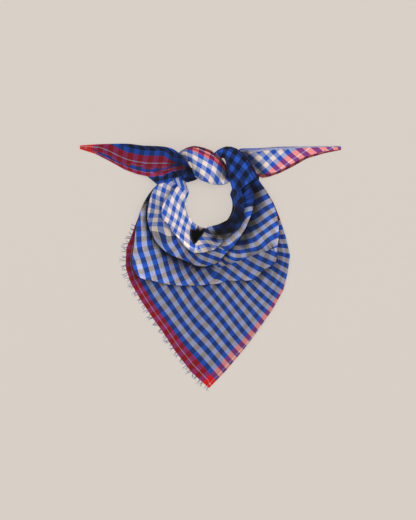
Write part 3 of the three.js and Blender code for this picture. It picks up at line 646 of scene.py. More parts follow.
def drape_station(number):
    """One section of the drape, out from the neck opening's middle."""
    row = dict(zip(DRAPE_COLUMNS, DRAPE_ROWS[number]))
    slack = float(along_table(SLACK_BY_ROW, number))
    for fold, more in PLEAT_SLACK.items():
        deep, room = row[fold + "_deep"], row[fold] - row["rim"] - PLEAT_ROOM
        row[fold + "_deep"] = max(deep, min(deep + more * slack, room))
    reach = {name: row[name] * PLAN_UNIT for name in DRAPE_COLUMNS[2:-1]}
    reach["back_rim"] = min(reach["rim"], BACK_RIM * PLAN_UNIT)
    reach["hem_level"] = 0 if row["hem"] - row["back"] > 4 else 1
    levels = layer_levels(row["low"] + SOLID_THICKNESS / 2, row["step"])
    points = section_points(reach, levels, 0, 0)
    faced = math.radians(row["turn"] - 90)
    way = np.array((math.cos(faced), math.sin(faced)))
    plan = plan_to_mm(*NECK_MIDDLE) + points[:, :1] * way
    uncovered = past_cover(reach, points[:, 0])
    return Station(np.column_stack((plan, points[:, 1])), way, uncovered, 1.0)


def strand_station(row):
    """One section of a neck strand or a free end, turned about its own middle."""
    x, y, facing, wide, turn, low, step, opened, spread, back = row + CLOSED_STRAND[len(row) - 7 :]
    half = wide * PLAN_UNIT / 2
    reach = {name: half * share for name, share in STRAND_FOLDS.items()}
    reach.update(back=half * (2 * back - 1), hem_level=1)
    levels = layer_levels(0, step)
    height = levels(7)
    sine, cosine = math.sin(math.radians(turn)), math.cos(math.radians(turn))
    middle = low + SOLID_THICKNESS / 2 + half * abs(sine) + height / 2 * abs(cosine)
    points = section_points(reach, levels, opened, spread)
    lifted = points[:, 1] - height / 2
    across = points[:, 0] * cosine - lifted * sine
    rise = points[:, 0] * sine + lifted * cosine
    way = np.array((math.cos(math.radians(facing)), math.sin(math.radians(facing))))
    plan = plan_to_mm(x, y) + across[:, None] * way
    outward = -way if turn > 90 else way
    showing = 0.5 if turn in (0, 180) else 0.0
    uncovered = past_cover(reach, points[:, 0])
    return Station(np.column_stack((plan, middle + rise)), outward, uncovered, showing)


def puffed(points):
    """The points with the drape's puffs, as the part's source has them."""
    at_x, at_y = mm_to_plan(points)
    rise = 1.0
    for x, y, size, share in PUFF_ROWS:
        rise = rise + share * np.exp(-((at_x - x) ** 2 + (at_y - y) ** 2) / (size * size))
    height = points[..., 2] - SOLID_THICKNESS
    out = points.copy()
    out[..., 2] = np.where(height > 0, SOLID_THICKNESS + height * rise, points[..., 2])
    return out


def thread_ways():
    """Directions of u and v, in degrees, for each face at each station."""
    ways = {face: [] for face in range(5)}
    for row in reversed(LIGHT_STRAND_ROWS):
        facing, turn = row[2], row[4]
        for face in range(5):
            if turn < 90:
                ways[face].append((facing + 180 + CROSSING, facing + 180))
            elif face == 4:
                ways[face].append((RIGHT_TAIL_WAY, RIGHT_TAIL_WAY - CROSSING))
            else:
                ways[face].append((facing - 90, facing))
    for k in range(len(DRAPE_ROWS)):
        if k <= FRONT_CORNER - FIRST_DRAPE:
            u_way = float(along_table(LEFT_HEM_WAYS, k))
            ways[0].append((u_way, u_way - CROSSING))
        else:
            v_way = float(along_table(RIGHT_HEM_WAYS, k))
            ways[0].append((v_way + CROSSING, v_way))
        for face in (1, 2, 3):
            turn = float(along_table(COLLAR_TURNS[face], k))
            ways[face].append((EDGE_LEFT + turn, EDGE_RIGHT + turn))
        ways[4].append((EDGE_LEFT, EDGE_RIGHT))
    for row in DARK_STRAND_ROWS:
        facing, turn = row[2], row[4]
        for face in range(5):
            if turn < 90:
                ways[face].append((facing + 180, facing + 180 - CROSSING))
            elif face == 4:
                ways[face].append((facing + 180 + CROSSING, facing + 180))
            else:
                ways[face].append((facing, facing + 90))
    return ways


def to_cloth(way, moves):
    """Plan moves in mm as moves along u and v."""
    u_way, v_way = (math.radians(w) for w in way)
    frame_of = np.array(((math.cos(u_way), math.cos(v_way)), (math.sin(u_way), math.sin(v_way))))
    return moves @ np.linalg.inv(frame_of).T


def known_places(face, span):
    """Pinned cloth places on a face in a span of stations: (station, u or None, v or None)."""
    first, last = span
    if span == DRAPE:
        return [pin for pin in CLOTH_PINS[face] if first <= pin[0] <= last]
    if span == WRAP:
        wide = {i: LIGHT_STRAND_ROWS[FIRST_DRAPE - 1 - i][3] for i in range(first, last + 1)}
        return [WRAP_PIN] + [(i, None, wide[i] * PLAN_UNIT * WRAP_INSETS[face]) for i in wide]
    pins = [TAIL_PINS.get((span, face), (first, 300, 300))]
    if face == 0:
        edge = (None, 0) if span == RIGHT_TAIL else (0, None)
        pins += [(i, *edge) for i in range(first, last + 1) if i != pins[0][0]]
    elif face == 4 and span == LEFT_TAIL:
        pins += [(i, None, CLOTH_SIDE) for i in range(first, last)]
    return pins


def guide_places(stations, ways, face):
    """u and v in mm at every station along the column that a face is counted from."""
    spots = np.array([s.points[guide_column(face), :2] for s in stations])
    values = np.full((len(stations), 2), np.nan)
    for first, last in (RIGHT_TAIL, WRAP, DRAPE, LEFT_TAIL):
        path = np.zeros((last - first + 1, 2))
        for i in range(first, last):
            middle = [(ways[i][k] + ways[i + 1][k]) / 2 for k in (0, 1)]
            path[i + 1 - first] = path[i - first] + to_cloth(middle, spots[i + 1] - spots[i])
        pins = known_places(face, (first, last))
        for axis in (0, 1):
            found = sorted((pin[0], pin[1 + axis]) for pin in pins if pin[1 + axis] is not None)
            offsets = [place - path[station - first, axis] for station, place in found]
            shift = np.interp(range(first, last + 1), [pin[0] for pin in found], offsets)
            values[first : last + 1, axis] = path[:, axis] + shift
    every = np.arange(len(stations))
    for axis in (0, 1):
        known = ~np.isnan(values[:, axis])
        values[:, axis] = np.interp(every, every[known], values[known, axis])
    return values


def cloth_places(stations):
    """u and v in mm of every column at every station."""
    ways = thread_ways()
    guides = [guide_places(stations, ways[face], face) for face in range(5)]
    every = np.arange(len(COLUMNS))
    low = np.minimum(np.floor(COLUMN_FACE), 3).astype(int)
    back = np.array([c.place if c.kind == "back" else 0.0 for c in COLUMNS])
    places = []
    for i, (points, outward, _uncovered, _showing) in enumerate(stations):
        run = run_lengths(points)
        faces = []
        for face in range(5):
            moves = points[:, :2] - points[0, :2]
            if face:
                away = (run - run[guide_column(face)])[:, None]
                moves = outward * away if face == 4 else -outward * away
            faces.append(guides[face][i] + to_cloth(ways[face][i], moves))
        faces = np.array(faces)
        share = COLUMN_FACE - low
        if FIRST_DRAPE <= i < FIRST_DARK:
            share = np.where(COLUMN_FACE > 3.5, back, share)
        places.append(blend(faces[low, every], faces[low + 1, every], share[:, None]))
    return np.array(places)


def run_lengths(points):
    """Distance along a line of points, from its start."""
    steps = np.linalg.norm(np.diff(points, axis=0), axis=1)
    return np.concatenate(([0.0], np.cumsum(steps)))


def refined(values, knots, targets):
    """Smooth curves through the stations, column by column, at closer rows."""
    slopes = np.zeros_like(values)
    spans = np.diff(knots)[:, None, None]
    rates = np.diff(values, axis=0) / spans
    before, after = spans[:-1], spans[1:]
    slopes[1:-1] = (rates[:-1] * after + rates[1:] * before) / (before + after)
    slopes[0], slopes[-1] = rates[0], rates[-1]
    out = []
    for target in targets:
        i = min(int(np.searchsorted(knots, target, side="right")) - 1, len(knots) - 2)
        span = knots[i + 1] - knots[i]
        t = (target - knots[i]) / span
        start = (1 + 2 * t) * (1 - t) ** 2 * values[i] + t * (1 - t) ** 2 * span * slopes[i]
        stop = t * t * (3 - 2 * t) * values[i + 1] + t * t * (t - 1) * span * slopes[i + 1]
        out.append(start + stop)
    return np.array(out)


def linear_rows(values, knots, targets):
    flat = values.reshape(len(values), -1)
    rows = [np.interp(targets, knots, flat[:, k]) for k in range(flat.shape[1])]
    return np.array(rows).T.reshape((len(targets),) + values.shape[1:])


def distance_to_line(x, y, line):
    """Distance in plan units from points to a polyline."""
    best = np.full(x.shape, np.inf)
    for (ax, ay), (bx, by) in zip(line, line[1:]):
        dx, dy = bx - ax, by - ay
        t = np.clip(((x - ax) * dx + (y - ay) * dy) / (dx * dx + dy * dy), 0, 1)
        best = np.minimum(best, np.hypot(x - ax - t * dx, y - ay - t * dy))
    return best


def from_hem(points):
    """Plan distance in mm of every cell from its row's front hem."""
    return np.linalg.norm(points[:, :, :2] - points[:, :1, :2], axis=2)


def moved_checks(x, y, places, own, regions):
    """How far some cells' cloth places move for their checks to fall where the anchors say."""
    xs, ys, base = x[own], y[own], places[own]
    total, moved = np.zeros(len(xs)), np.zeros((len(xs), 2))
    anchors = [a for region in CHECK_ANCHORS if region in regions for a in CHECK_ANCHORS[region]]
    for at_x, at_y, u, v, u_way, u_pair, v_way, v_pair in anchors:
        right, up = xs - at_x, at_y - ys
        away = np.hypot(right, up)
        there = []
        for start, way, wide in ((u, u_way, u_pair), (v, v_way, v_pair)):
            turn = math.radians(way)
            moves = right * math.cos(turn) + up * math.sin(turn)
            there.append(start + moves * CHECK_PAIR / wide)
        there = np.array(there).T
        nearest = int(np.argmin(away))
        offset = there[nearest] - base[nearest]
        shift = offset + (there - base - offset) * bell(away, ANCHOR_HOLD)[:, None]
        weight = np.exp(-away * away / (2 * ANCHOR_REACH**2)) + 1e-5 / (1 + away * away)
        total += weight
        moved += shift * weight[:, None]
    return moved / total[:, None]


def tail_bands(x, y, v):
    """v across the left tail: its hem band, the strip under it, and the dark cloth round both."""
    line, lower = (np.interp(x, TAIL_X, ys) for ys in (TAIL_CREAM_Y, TAIL_STRIP_Y))
    wide = 1 - smooth(*TAIL_BAND_CLOSES, x)
    above, under = TAIL_BAND_ABOVE * wide, TAIL_BAND_UNDER * wide
    inner, outer = line - above, line + under
    inside = BORDER_PLACE - (inner - y) * PLAN_UNIT
    band = CREAM_PLACE + np.where(
        y < line,
        (y - line) * (CREAM_PLACE - BORDER_PLACE) / np.maximum(above, 0.1),
        (y - line) * CREAM_TO_HEM / np.maximum(under, 0.1),
    )
    between = BORDER_PLACE - 3 - (y - outer) * PLAN_UNIT
    strip = np.interp(y - lower, TAIL_STRIP_ACROSS, TAIL_STRIP_PLACES)
    below = BORDER_PLACE - 5 - (y - lower) * PLAN_UNIT
    out = np.where(y < inner, inside, np.where(y < outer, band, between))
    low, high = TAIL_STRIP_ACROSS[0], TAIL_STRIP_ACROSS[-1]
    stripped = (y > lower + low) & (x < TAIL_STRIP_STOP)
    out = np.where(stripped, np.where(y < lower + high, strip, below), out)
    return np.where(x > LEFT_TAIL_STOP, v, out)


def checked_places(points, places, station):
    """Cloth places moved to the anchored checks, the same past each parting, and the parting."""
    x, y = mm_to_plan(points)
    drape, flat_tops = within(station, DRAPE), COLUMN_FACE < 3.5
    masks = {
        "front": drape & on_face(0),
        "drape": drape & on_face(1),
        "roll": drape & on_face(2),
        "inner": drape & on_face(3),
        "wrap": within(station, WRAP) & flat_tops,
        "right_tail": within(station, RIGHT_TAIL) & (COLUMN_FACE > 3.9),
        "neck_right": within(station, RIGHT_NECK) & flat_tops & ~on_face(2) & ~on_face(3),
    }
    shift = np.zeros(places.shape)
    for region, own in masks.items():
        shift[own] = moved_checks(x, y, places, own, (region,))
    beyond = shift.copy()
    parting = np.full(x.shape, NO_PARTING)
    line = np.interp(x, [p[0] for p in DRAPE_PARTING], [p[1] for p in DRAPE_PARTING])
    for region, others, away in (
        ("drape", ("drape_right",), np.minimum(line - y, x - 200)),
        ("roll", ("roll_right", "neck_right"), np.minimum((x - y + 26) * 0.7, x - 190)),
        ("inner", ("inner_right", "neck_right"), np.minimum(x - 197.5, 260 - y)),
    ):
        own = masks[region]
        beyond[own] = moved_checks(x, y, places, own, others)
        parting[own] = away[own]
    tail = (station > LEFT_TAIL_SHOWS)[:, None] & (x < LEFT_TAIL_STOP)
    u, v = places[:, :, 0], places[:, :, 1]
    shift[:, :, 1] = np.where(tail, tail_bands(x, y, v) - v, shift[:, :, 1])
    along = (x - TAIL_TIP_X) * TAIL_PAIR_RATE
    shift[:, :, 0] = np.where(tail & flat_tops, along - u, shift[:, :, 0])
    near_hem = bell(from_hem(points), 15.0) * on_face(0) * drape
    left = (station < FRONT_CORNER)[:, None]
    shift[:, :, 1] *= 1 - near_hem * left
    shift[:, :, 0] *= 1 - near_hem * ~left
    for run in (1, 3, 5):
        inside = columns_in_run(run)
        first, last = inside[0] - 1, inside[-1] + 1
        for i in inside:
            shift[:, i] = blend(shift[:, first], shift[:, last], (i - first) / (last - first))
    return places + shift, places + beyond, parting


def closer_rows(points):
    """Distances along the guide of the stations, and of the closer rows that the grid gets."""
    guide = points[:, guide_column(2), :]
    gaps = np.maximum(np.linalg.norm(np.diff(guide, axis=0), axis=1), 1.0)
    knots = np.concatenate(([0.0], np.cumsum(gaps)))
    targets = []
    for i, gap in enumerate(gaps):
        in_drape = FIRST_DRAPE - 1 <= i < FIRST_DARK
        cuts = max(1, round(gap / (ROW_SPACING if in_drape else STRAND_ROW_SPACING)))
        if abs(i + 0.5 - FRONT_CORNER) < 3:
            cuts = max(cuts, CORNER_ROWS)
        targets += [knots[i] + gap * k / cuts for k in range(cuts)]
    return knots, np.array(targets + [knots[-1]])


def rounded_rows(points, knots, targets, station):
    """The sheet at the closer rows: curved, but straight at its hems and at the necks' ends."""
    curved, straight = (way(points, knots, targets) for way in (refined, linear_rows))
    near_hem = np.zeros(len(COLUMNS))
    for i in columns_in_run(0):
        near_hem[i] = 1.0 - smooth(0.0, 0.5, COLUMNS[i].place)
    near_hem[-1] = 1.0
    necks = bell(station - FIRST_DRAPE - 0.3, 1.5), bell(station - FIRST_DARK + 1, 1.2)
    stiff = np.maximum(near_hem, np.maximum(*necks)[:, None] * (COLUMN_FACE > 2.9))
    return curved + (straight - curved) * stiff[:, :, None]


def settle(out, station):
    """Move the wrap's edge, the right tail and the left hem; give how far the wrap is tucked."""
    x, y = mm_to_plan(out)
    under = within(station, WRAP_EDGE) * smooth(*WRAP_EDGE_X, x) * window(*WRAP_EDGE_Y, y)
    behind = within(station, TAIL_INNER) * window(*TAIL_INNER_X, x)
    behind = behind * (1 - smooth(*TAIL_INNER_Y, y))
    out[:, :, 0] += (WRAP_OUT * under - TAIL_IN * behind) * PLAN_UNIT
    left = within(station, LEFT_HEM) * on_face(0)
    near = bell(from_hem(out), LEFT_HEM_REACH) * bell(y - LEFT_HEM_Y, LEFT_HEM_TALL)
    out[:, :, 0] -= HEM_OUT * PLAN_UNIT * left * near
    lowest = np.minimum(out[:, :, 2], LOWEST_WRAP)
    out[:, :, 2] = np.maximum(out[:, :, 2] - WRAP_DOWN * under, lowest)
    return under


def fullness(number):
    """How far the columns of a visible fold stand up, from 0 to 1."""
    swell = np.zeros(len(COLUMNS))
    for i in columns_in_run(2 * number):
        place = COLUMNS[i].place
        if number == 3:
            swell[i] = math.sin(math.pi * place) ** 0.7
        elif place < FULL_SHARE:
            swell[i] = math.sin(math.pi * place / FULL_SHARE) ** 0.8
    return swell


def raised_folds(x, y, uncovered):
    """Height in mm of the fullness and the creases of the visible folds."""
    rise = np.zeros(x.shape)
    for number, loft in FACE_LOFT.items():
        own = on_face(number) & columns_of("run", "crest")
        rise += np.where(own, loft * fullness(number), 0.0)
    for number, height, wide, line in CREASE_LINES:
        own = on_face(number) & columns_of("run", "crest")
        away = distance_to_line(x, y, line) * PLAN_UNIT
        rise += np.where(own, height * np.exp(-(away * away) / (2 * wide * wide)), 0.0)
    return rise * smooth(1.0, 16.0, uncovered)


def fold_shade(x, y, station, uncovered, under, in_drape):
    """Painted shade on every spot for lying deep in a fold, as a share; painted highlights on the
    fold edges take some of it off.
    """
    near = 1.0 - smooth(0.0, SHADE_REACH, uncovered)
    shade = np.full(x.shape, HIDDEN_SHADE)
    shade[:, ON_A_FACE] = 0.0
    for number, deep in TUCK_DEPTH.items():
        shade += np.where(on_face(number) & columns_of("run", "crest"), near * deep, 0.0)
    crest_top = np.array([c.kind == "crest" and -40 < c.place < 70 for c in COLUMNS])
    shade[:, crest_top] -= CREST_LIGHT
    wall = np.array([c.kind == "wall" and c.fold > 0 for c in COLUMNS])
    pocket = window(*POCKET_STATIONS, station)[:, None] * smooth(*POCKET_Y, y)
    along_wall = smooth(40, 50, station)[:, None]
    shade[:, wall] = (WALL_SHADE * along_wall + POCKET_SHADE * pocket)[:, wall]
    shade[:, [c.kind == "back" and c.place < 0.25 for c in COLUMNS]] = BACK_SHADE
    shade = np.maximum(shade, under * WRAP_SHADE)
    shade -= np.where(within(station, RIGHT_TAIL) & (COLUMN_FACE > 3.9), TAIL_LIGHT, 0.0)
    left_tail = (station > LEFT_TAIL_SHOWS)[:, None] & (x < 172)
    shade *= np.where(left_tail, LEFT_TAIL_SHARE, 1.0)
    for number, low, high, deep, wide, line in SHADE_LINES:
        own = ((station >= low) & (station <= high))[:, None] & on_face(number)
        line_shade = deep * bell(distance_to_line(x, y, line), wide)
        shade = np.where(own & ~columns_of("pleat"), np.maximum(shade, line_shade), shade)
    # Painted highlights along the fold edges lighten the colour
    for number, pale, wide, line in PAINTED_HIGHLIGHT_LINES:
        wear_and_highlight = pale * bell(distance_to_line(x, y, line), wide)
        shade -= np.where(on_face(number) & in_drape, wear_and_highlight, 0.0)
    return shade


def ripples(out, uncovered, showing, height):
    """Height in mm of the loose waves over the visible cloth."""
    wobble = np.zeros(out.shape[:2])
    for i, j in np.ndindex(wobble.shape):
        x, y = out[i, j, :2]
        broad = Vector((x / 46.0, y / 46.0, COLUMN_FACE[j] * 3.7))
        fine = Vector((x / 17.0, y / 17.0, COLUMN_FACE[j] * 5.1 + 9))
        wobble[i, j] = noise.noise(broad) + 0.35 * noise.noise(fine)
    loose = (ON_A_FACE & columns_of("run", "crest")) * smooth(2.0, 16.0, uncovered)
    loose = loose * np.where(COLUMN_FACE > 1.9, 1.5, 1.0) * showing[:, None]
    return np.maximum(height * (0.6 + wobble) * loose, 0.0)


def draped_cloth(settings):
    """The grid of cloth: points and cloth places in mm, shade in the folds, and the parting."""
    stations = [strand_station(row) for row in reversed(LIGHT_STRAND_ROWS)]
    stations += [drape_station(number) for number in range(len(DRAPE_ROWS))]
    stations += [strand_station(row) for row in DARK_STRAND_ROWS]
    points = np.array([s.points for s in stations])
    knots, targets = closer_rows(points)
    station = np.interp(targets, knots, np.arange(len(knots)))
    places = linear_rows(cloth_places(stations), knots, targets)
    uncovered = linear_rows(np.array([s.uncovered for s in stations]), knots, targets)
    showing = np.interp(targets, knots, [s.showing for s in stations])
    in_drape = (showing > 0.9)[:, None]

    out = puffed(rounded_rows(points, knots, targets, station))
    under = settle(out, station)
    places, beyond, parting = checked_places(out, places, station)
    x, y = mm_to_plan(out)
    out[:, :, 2] += raised_folds(x, y, uncovered) * in_drape * settings.fold_puff
    out[:, :, 2] += ripples(out, uncovered, showing, settings.ripple)
    shade = fold_shade(x, y, station, uncovered, under, in_drape)
    return Grid(out, places, shade, beyond, parting)


def deselect_all():
    bpy.ops.object.select_all(action="DESELECT")


def made_object(name):
    piece = bpy.context.object
    piece.name = name
    piece.data.name = name
    return piece


class Nodes:
    """Short words for building one material's nodes."""

    def __init__(self, name):
        self.material = bpy.data.materials.new(name)
        self.material.use_nodes = True
        self.tree = self.material.node_tree
        self.tree.nodes.clear()

    def add(self, kind, label="", **values):
        node = self.tree.nodes.new("ShaderNode" + kind)
        node.label = label
        for key, value in values.items():
            setattr(node, key, value)
        return node

    def fed(self, socket, value):
        if hasattr(value, "is_output"):
            self.tree.links.new(value, socket)
        else:
            socket.default_value = value

    def math(self, operation, a, b=0.0, label="", c=0.0):
        node = self.add("Math", label, operation=operation)
        for socket, value in zip(node.inputs, (a, b, c)):
            self.fed(socket, value)
        return node.outputs[0]

    def mixed(self, share, a, b, label="", blend_type="MIX", data_type="RGBA"):
        node = self.add("Mix", label, data_type=data_type, blend_type=blend_type)
        for name, value in (("Factor", share), ("A", a), ("B", b)):
            self.fed(node.inputs[name], value)
        return node.outputs["Result"]

    def joined(self, label, *values):
        node = self.add("CombineXYZ", label)
        for socket, value in zip(node.inputs, values):
            self.fed(socket, value)
        return node.outputs[0]

    def object_place(self):
        return self.add("TexCoord").outputs["Object"]

    def noise(self, vector, scale, detail, label=""):
        node = self.add("TexNoise", label)
        for name, value in (("Vector", vector), ("Scale", scale), ("Detail", detail)):
            self.fed(node.inputs[name], value)
        return node.outputs[0]

    def to_scene_light(self, colour):
        """Display values as the linear values that a shader takes."""
        gamma = self.add("Gamma", "to scene light")
        self.fed(gamma.inputs["Color"], colour)
        self.fed(gamma.inputs["Gamma"], DISPLAY_GAMMA)
        return gamma.outputs[0]

    def bump(self, height, strength, distance, label):
        node = self.add("Bump", label)
        for name, value in (("Strength", strength), ("Distance", distance), ("Height", height)):
            self.fed(node.inputs[name], value)
        return node.outputs[0]

    def surface(self, label, inputs):
        """End the tree in one Principled shader, and give the material."""
        shader = self.add("BsdfPrincipled", label)
        for name, value in inputs.items():
            self.fed(shader.inputs[name], value)
        self.fed(self.add("OutputMaterial").inputs["Surface"], shader.outputs[0])
        return self.material


def dye_colour(nodes, place, dark_half, settings, label):
    """Colour of the threads that lie at this distance across the cloth, in mm."""
    side, border, check = (
        length / MM for length in (settings.cloth_side, settings.border_width, settings.check_width)
    )
    cream, red = tuple(settings.cream), tuple(settings.red)
    inset = nodes.math("MINIMUM", place, nodes.math("SUBTRACT", side, place), label + " from edge")
    band = nodes.math("SUBTRACT", inset, border)
    turn = nodes.math("FRACT", nodes.math("DIVIDE", band, check * 2))
    pale = nodes.math("GREATER_THAN", turn, 0.5, label + " pale stripe")
    dark = nodes.math("LESS_THAN" if dark_half == "near" else "GREATER_THAN", place, side / 2)
    other = nodes.mixed(dark, cream, tuple(settings.ink), label + " second colour")
    stripes = nodes.mixed(pale, tuple(settings.blue), other, label + " stripes")
    edge = nodes.math("LESS_THAN", band, 0.0, label + " border")
    middle = nodes.math("ABSOLUTE", nodes.math("SUBTRACT", inset, border * CREAM_SHARE))
    line = nodes.math("LESS_THAN", middle, CREAM_HALF_WIDTH, label + " cream line")
    return nodes.mixed(edge, stripes, nodes.mixed(line, red, cream), label + " threads")


def gingham_cotton(settings):
    """Woven cotton: each way has its own coloured threads, and every check is their mixture."""
    nodes = Nodes("gingham_cotton")
    uv = nodes.add("UVMap", "place on the cloth", uv_map="cloth_place").outputs["UV"]
    second = nodes.add("Attribute", "place past the fold", attribute_name="place_beyond")
    parting = nodes.add("Attribute", "which side of the fold", attribute_name="parting")
    past = nodes.math("GREATER_THAN", parting.outputs["Fac"], 0.0)
    chosen = nodes.mixed(past, uv, second.outputs["Vector"], "place", data_type="VECTOR")
    split = nodes.add("SeparateXYZ")
    nodes.fed(split.inputs[0], chosen)
    side = settings.cloth_side / MM
    u, v = (
        nodes.math("PINGPONG", nodes.math("MULTIPLY", split.outputs[axis], 1 / MM), side, label)
        for axis, label in (("X", "u in mm"), ("Y", "v in mm"))
    )
    warp = dye_colour(nodes, v, "far", settings, "warp")
    weft = dye_colour(nodes, u, "near", settings, "weft")

    thread = 2 * math.pi / (settings.thread_pitch / MM)
    waves = [nodes.math("SINE", nodes.math("MULTIPLY", place, thread)) for place in (u, v)]
    weave = nodes.math("MULTIPLY", *waves, "over and under")
    share = nodes.math("MULTIPLY_ADD", weave, 0.38, "which thread is on top", 0.415)
    woven = nodes.mixed(share, warp, weft, "woven colour")

    slubs = []
    for label, across, along in (("warp", v, u), ("weft", u, v)):
        wide, long = nodes.math("MULTIPLY", across, 1.3), nodes.math("MULTIPLY", along, 0.05)
        stretched = nodes.joined(label + " slubs", wide, long)
        slubs.append(nodes.noise(stretched, 1.0, 2.0, label + " unevenness"))
    wash = nodes.noise(nodes.object_place(), 26.0, 3.0, "wash")
    tone = nodes.math("MULTIPLY_ADD", nodes.math("ADD", *slubs), 0.24, "uneven dye", 0.70)
    tone = nodes.math("ADD", tone, nodes.math("MULTIPLY", wash, 0.14))
    tone = nodes.math("MULTIPLY", tone, 0.93, "dye strength")
    # Painted shade of the folds and painted highlights on their edges, multiplied into the colour
    depth = nodes.add("Attribute", "fold depth", attribute_name="painted_fold_shade").outputs["Fac"]
    shade = nodes.math("MULTIPLY_ADD", depth, -settings.tuck_shade, "shade in folds", 1.0)
    tone = nodes.math("MULTIPLY", tone, shade)
    grey = nodes.add("CombineColor", "tone")
    for socket in grey.inputs:
        nodes.fed(socket, tone)
    toned = nodes.mixed(1.0, woven, grey.outputs[0], "toned", "MULTIPLY")

    nap = nodes.noise(nodes.joined("", u, v), 1.6, 3.0, "nap")
    height = nodes.math("MULTIPLY_ADD", nap, 0.5, "thread height", weave)
    return nodes.surface("cotton", {
        "Base Color": nodes.to_scene_light(toned),
        "Roughness": nodes.math("MULTIPLY_ADD", nap, 0.12, "matt cotton", 0.80),
        "Normal": nodes.bump(height, 0.35, 0.00025, "weave relief"),
        "Specular IOR Level": 0.18,
        "Sheen Weight": 0.08,
        "Sheen Roughness": 0.5,
    })


def frayed_thread_look(settings):
    """Loose blue and black threads, fuzzy and uneven."""
    nodes = Nodes("frayed_cotton_thread")
    place = nodes.object_place()
    patches = nodes.noise(place, 260.0, 2.0, "thread by thread")
    colour = nodes.mixed(patches, tuple(settings.blue), tuple(settings.ink), "dye")
    pale = nodes.math("GREATER_THAN", nodes.noise(place, 140.0, 1.0), 0.6)
    wear_and_highlight = nodes.math("MULTIPLY_ADD", pale, 0.35, "how worn", 0.3)
    colour = nodes.mixed(wear_and_highlight, colour, (0.66, 0.65, 0.72, 1), "wear_and_highlight")
    twist = nodes.noise(place, 3200.0, 2.0, "twist")
    return nodes.surface("loose thread", {
        "Base Color": nodes.to_scene_light(colour),
        "Roughness": nodes.math("MULTIPLY_ADD", twist, 0.15, "matt thread", 0.8),
        "Normal": nodes.bump(twist, 0.4, 0.0001, "twisted fibre"),
        "Sheen Weight": 0.2,
    })


class GinghamCloth(bpy.types.PropertyGroup):
    """The woven square."""

    cloth_side: bpy.props.FloatProperty(
        name="Cloth side", description="Side of the square as it was cut", default=CLOTH_SIDE * MM,
        unit="LENGTH",
    )
    check_width: bpy.props.FloatProperty(
        name="Check width", description="Width of one coloured stripe", default=CHECK_WIDTH * MM,
        unit="LENGTH",
    )
    border_width: bpy.props.FloatProperty(
        name="Border width", description="Width of the red border", default=BORDER_WIDTH * MM,
        unit="LENGTH",
    )
    thread_pitch: bpy.props.FloatProperty(
        name="Thread pitch", description="Two threads of the plain weave",
        default=0.0011, unit="LENGTH",
    )
    cloth_thickness: bpy.props.FloatProperty(
        name="Cloth thickness", description="Thickness of the woven cotton", default=0.0006,
        unit="LENGTH", precision=5,
    )
    fold_puff: bpy.props.FloatProperty(
        name="Fold puff", description="How full the folds stand, as a share", default=1.0,
        subtype="FACTOR",
    )
    ripple: bpy.props.FloatProperty(
        name="Ripple", description="Height of the loose ripples, in millimetres", default=1.3
    )
    tuck_shade: bpy.props.FloatProperty(
        name="Tuck shade", description="Darkening deep under a fold", default=0.7, subtype="FACTOR"
    )
    blue: bpy.props.FloatVectorProperty(
        name="Blue", description="Blue threads, as display values", size=4,
        default=(0.145, 0.33, 0.74, 1.0),
    )
    cream: bpy.props.FloatVectorProperty(
        name="Cream", description="Cream threads, as display values", size=4,
        default=(0.93, 0.855, 0.80, 1.0),
    )
    ink: bpy.props.FloatVectorProperty(
        name="Ink", description="Blue-black threads, as display values", size=4,
        default=(0.085, 0.105, 0.17, 1.0),
    )
    red: bpy.props.FloatVectorProperty(
        name="Red", description="Red border threads, as display values", size=4,
        default=(0.91, 0.085, 0.125, 1.0),
    )


class FrayedHem(bpy.types.PropertyGroup):
    """Loose threads along the left hem."""

    thread_count: bpy.props.IntProperty(
        name="Thread count", description="Loose threads along the left hem", default=340
    )
    thread_radius: bpy.props.FloatProperty(
        name="Thread radius", description="Half the thickness of one loose thread", default=0.00021,
        unit="LENGTH", precision=5,
    )
    thread_length: bpy.props.FloatProperty(
        name="Thread length", description="Length of a long loose thread",
        default=0.0125, unit="LENGTH",
    )


class PaleTable(bpy.types.PropertyGroup):
    """The floor, the lights and the camera."""

    even_light: bpy.props.FloatProperty(
        name="Even light",
        description="Share of the table's brightness that no shadow takes away",
        default=0.68,
        min=0,
        max=1,
    )
    table_glow: bpy.props.FloatVectorProperty(
        name="Table glow",
        description="Brightness of the table where no shadow falls",
        subtype="COLOR",
        size=4,
        default=(0.687, 0.624, 0.565, 1.0),
        min=0,
        max=1,
    )
    table_colour: bpy.props.FloatVectorProperty(
        name="Table colour", description="Plain pale table", subtype="COLOR", size=4,
        default=(0.556, 0.512, 0.474, 1.0),
    )
    camera_height: bpy.props.FloatProperty(
        name="Camera height", description="Height of the camera over the table", default=4.0,
        unit="LENGTH",
    )
    frame_height: bpy.props.FloatProperty(
        name="Frame height", description="Height of the picture on the table", default=0.988,
        unit="LENGTH",
    )
    key_power: bpy.props.FloatProperty(
        name="Key light", description="Power of the large overhead light",
        default=200.0, unit="POWER",
    )
    fill_strength: bpy.props.FloatProperty(
        name="Fill light", description="Brightness of the room all round", default=0.79
    )


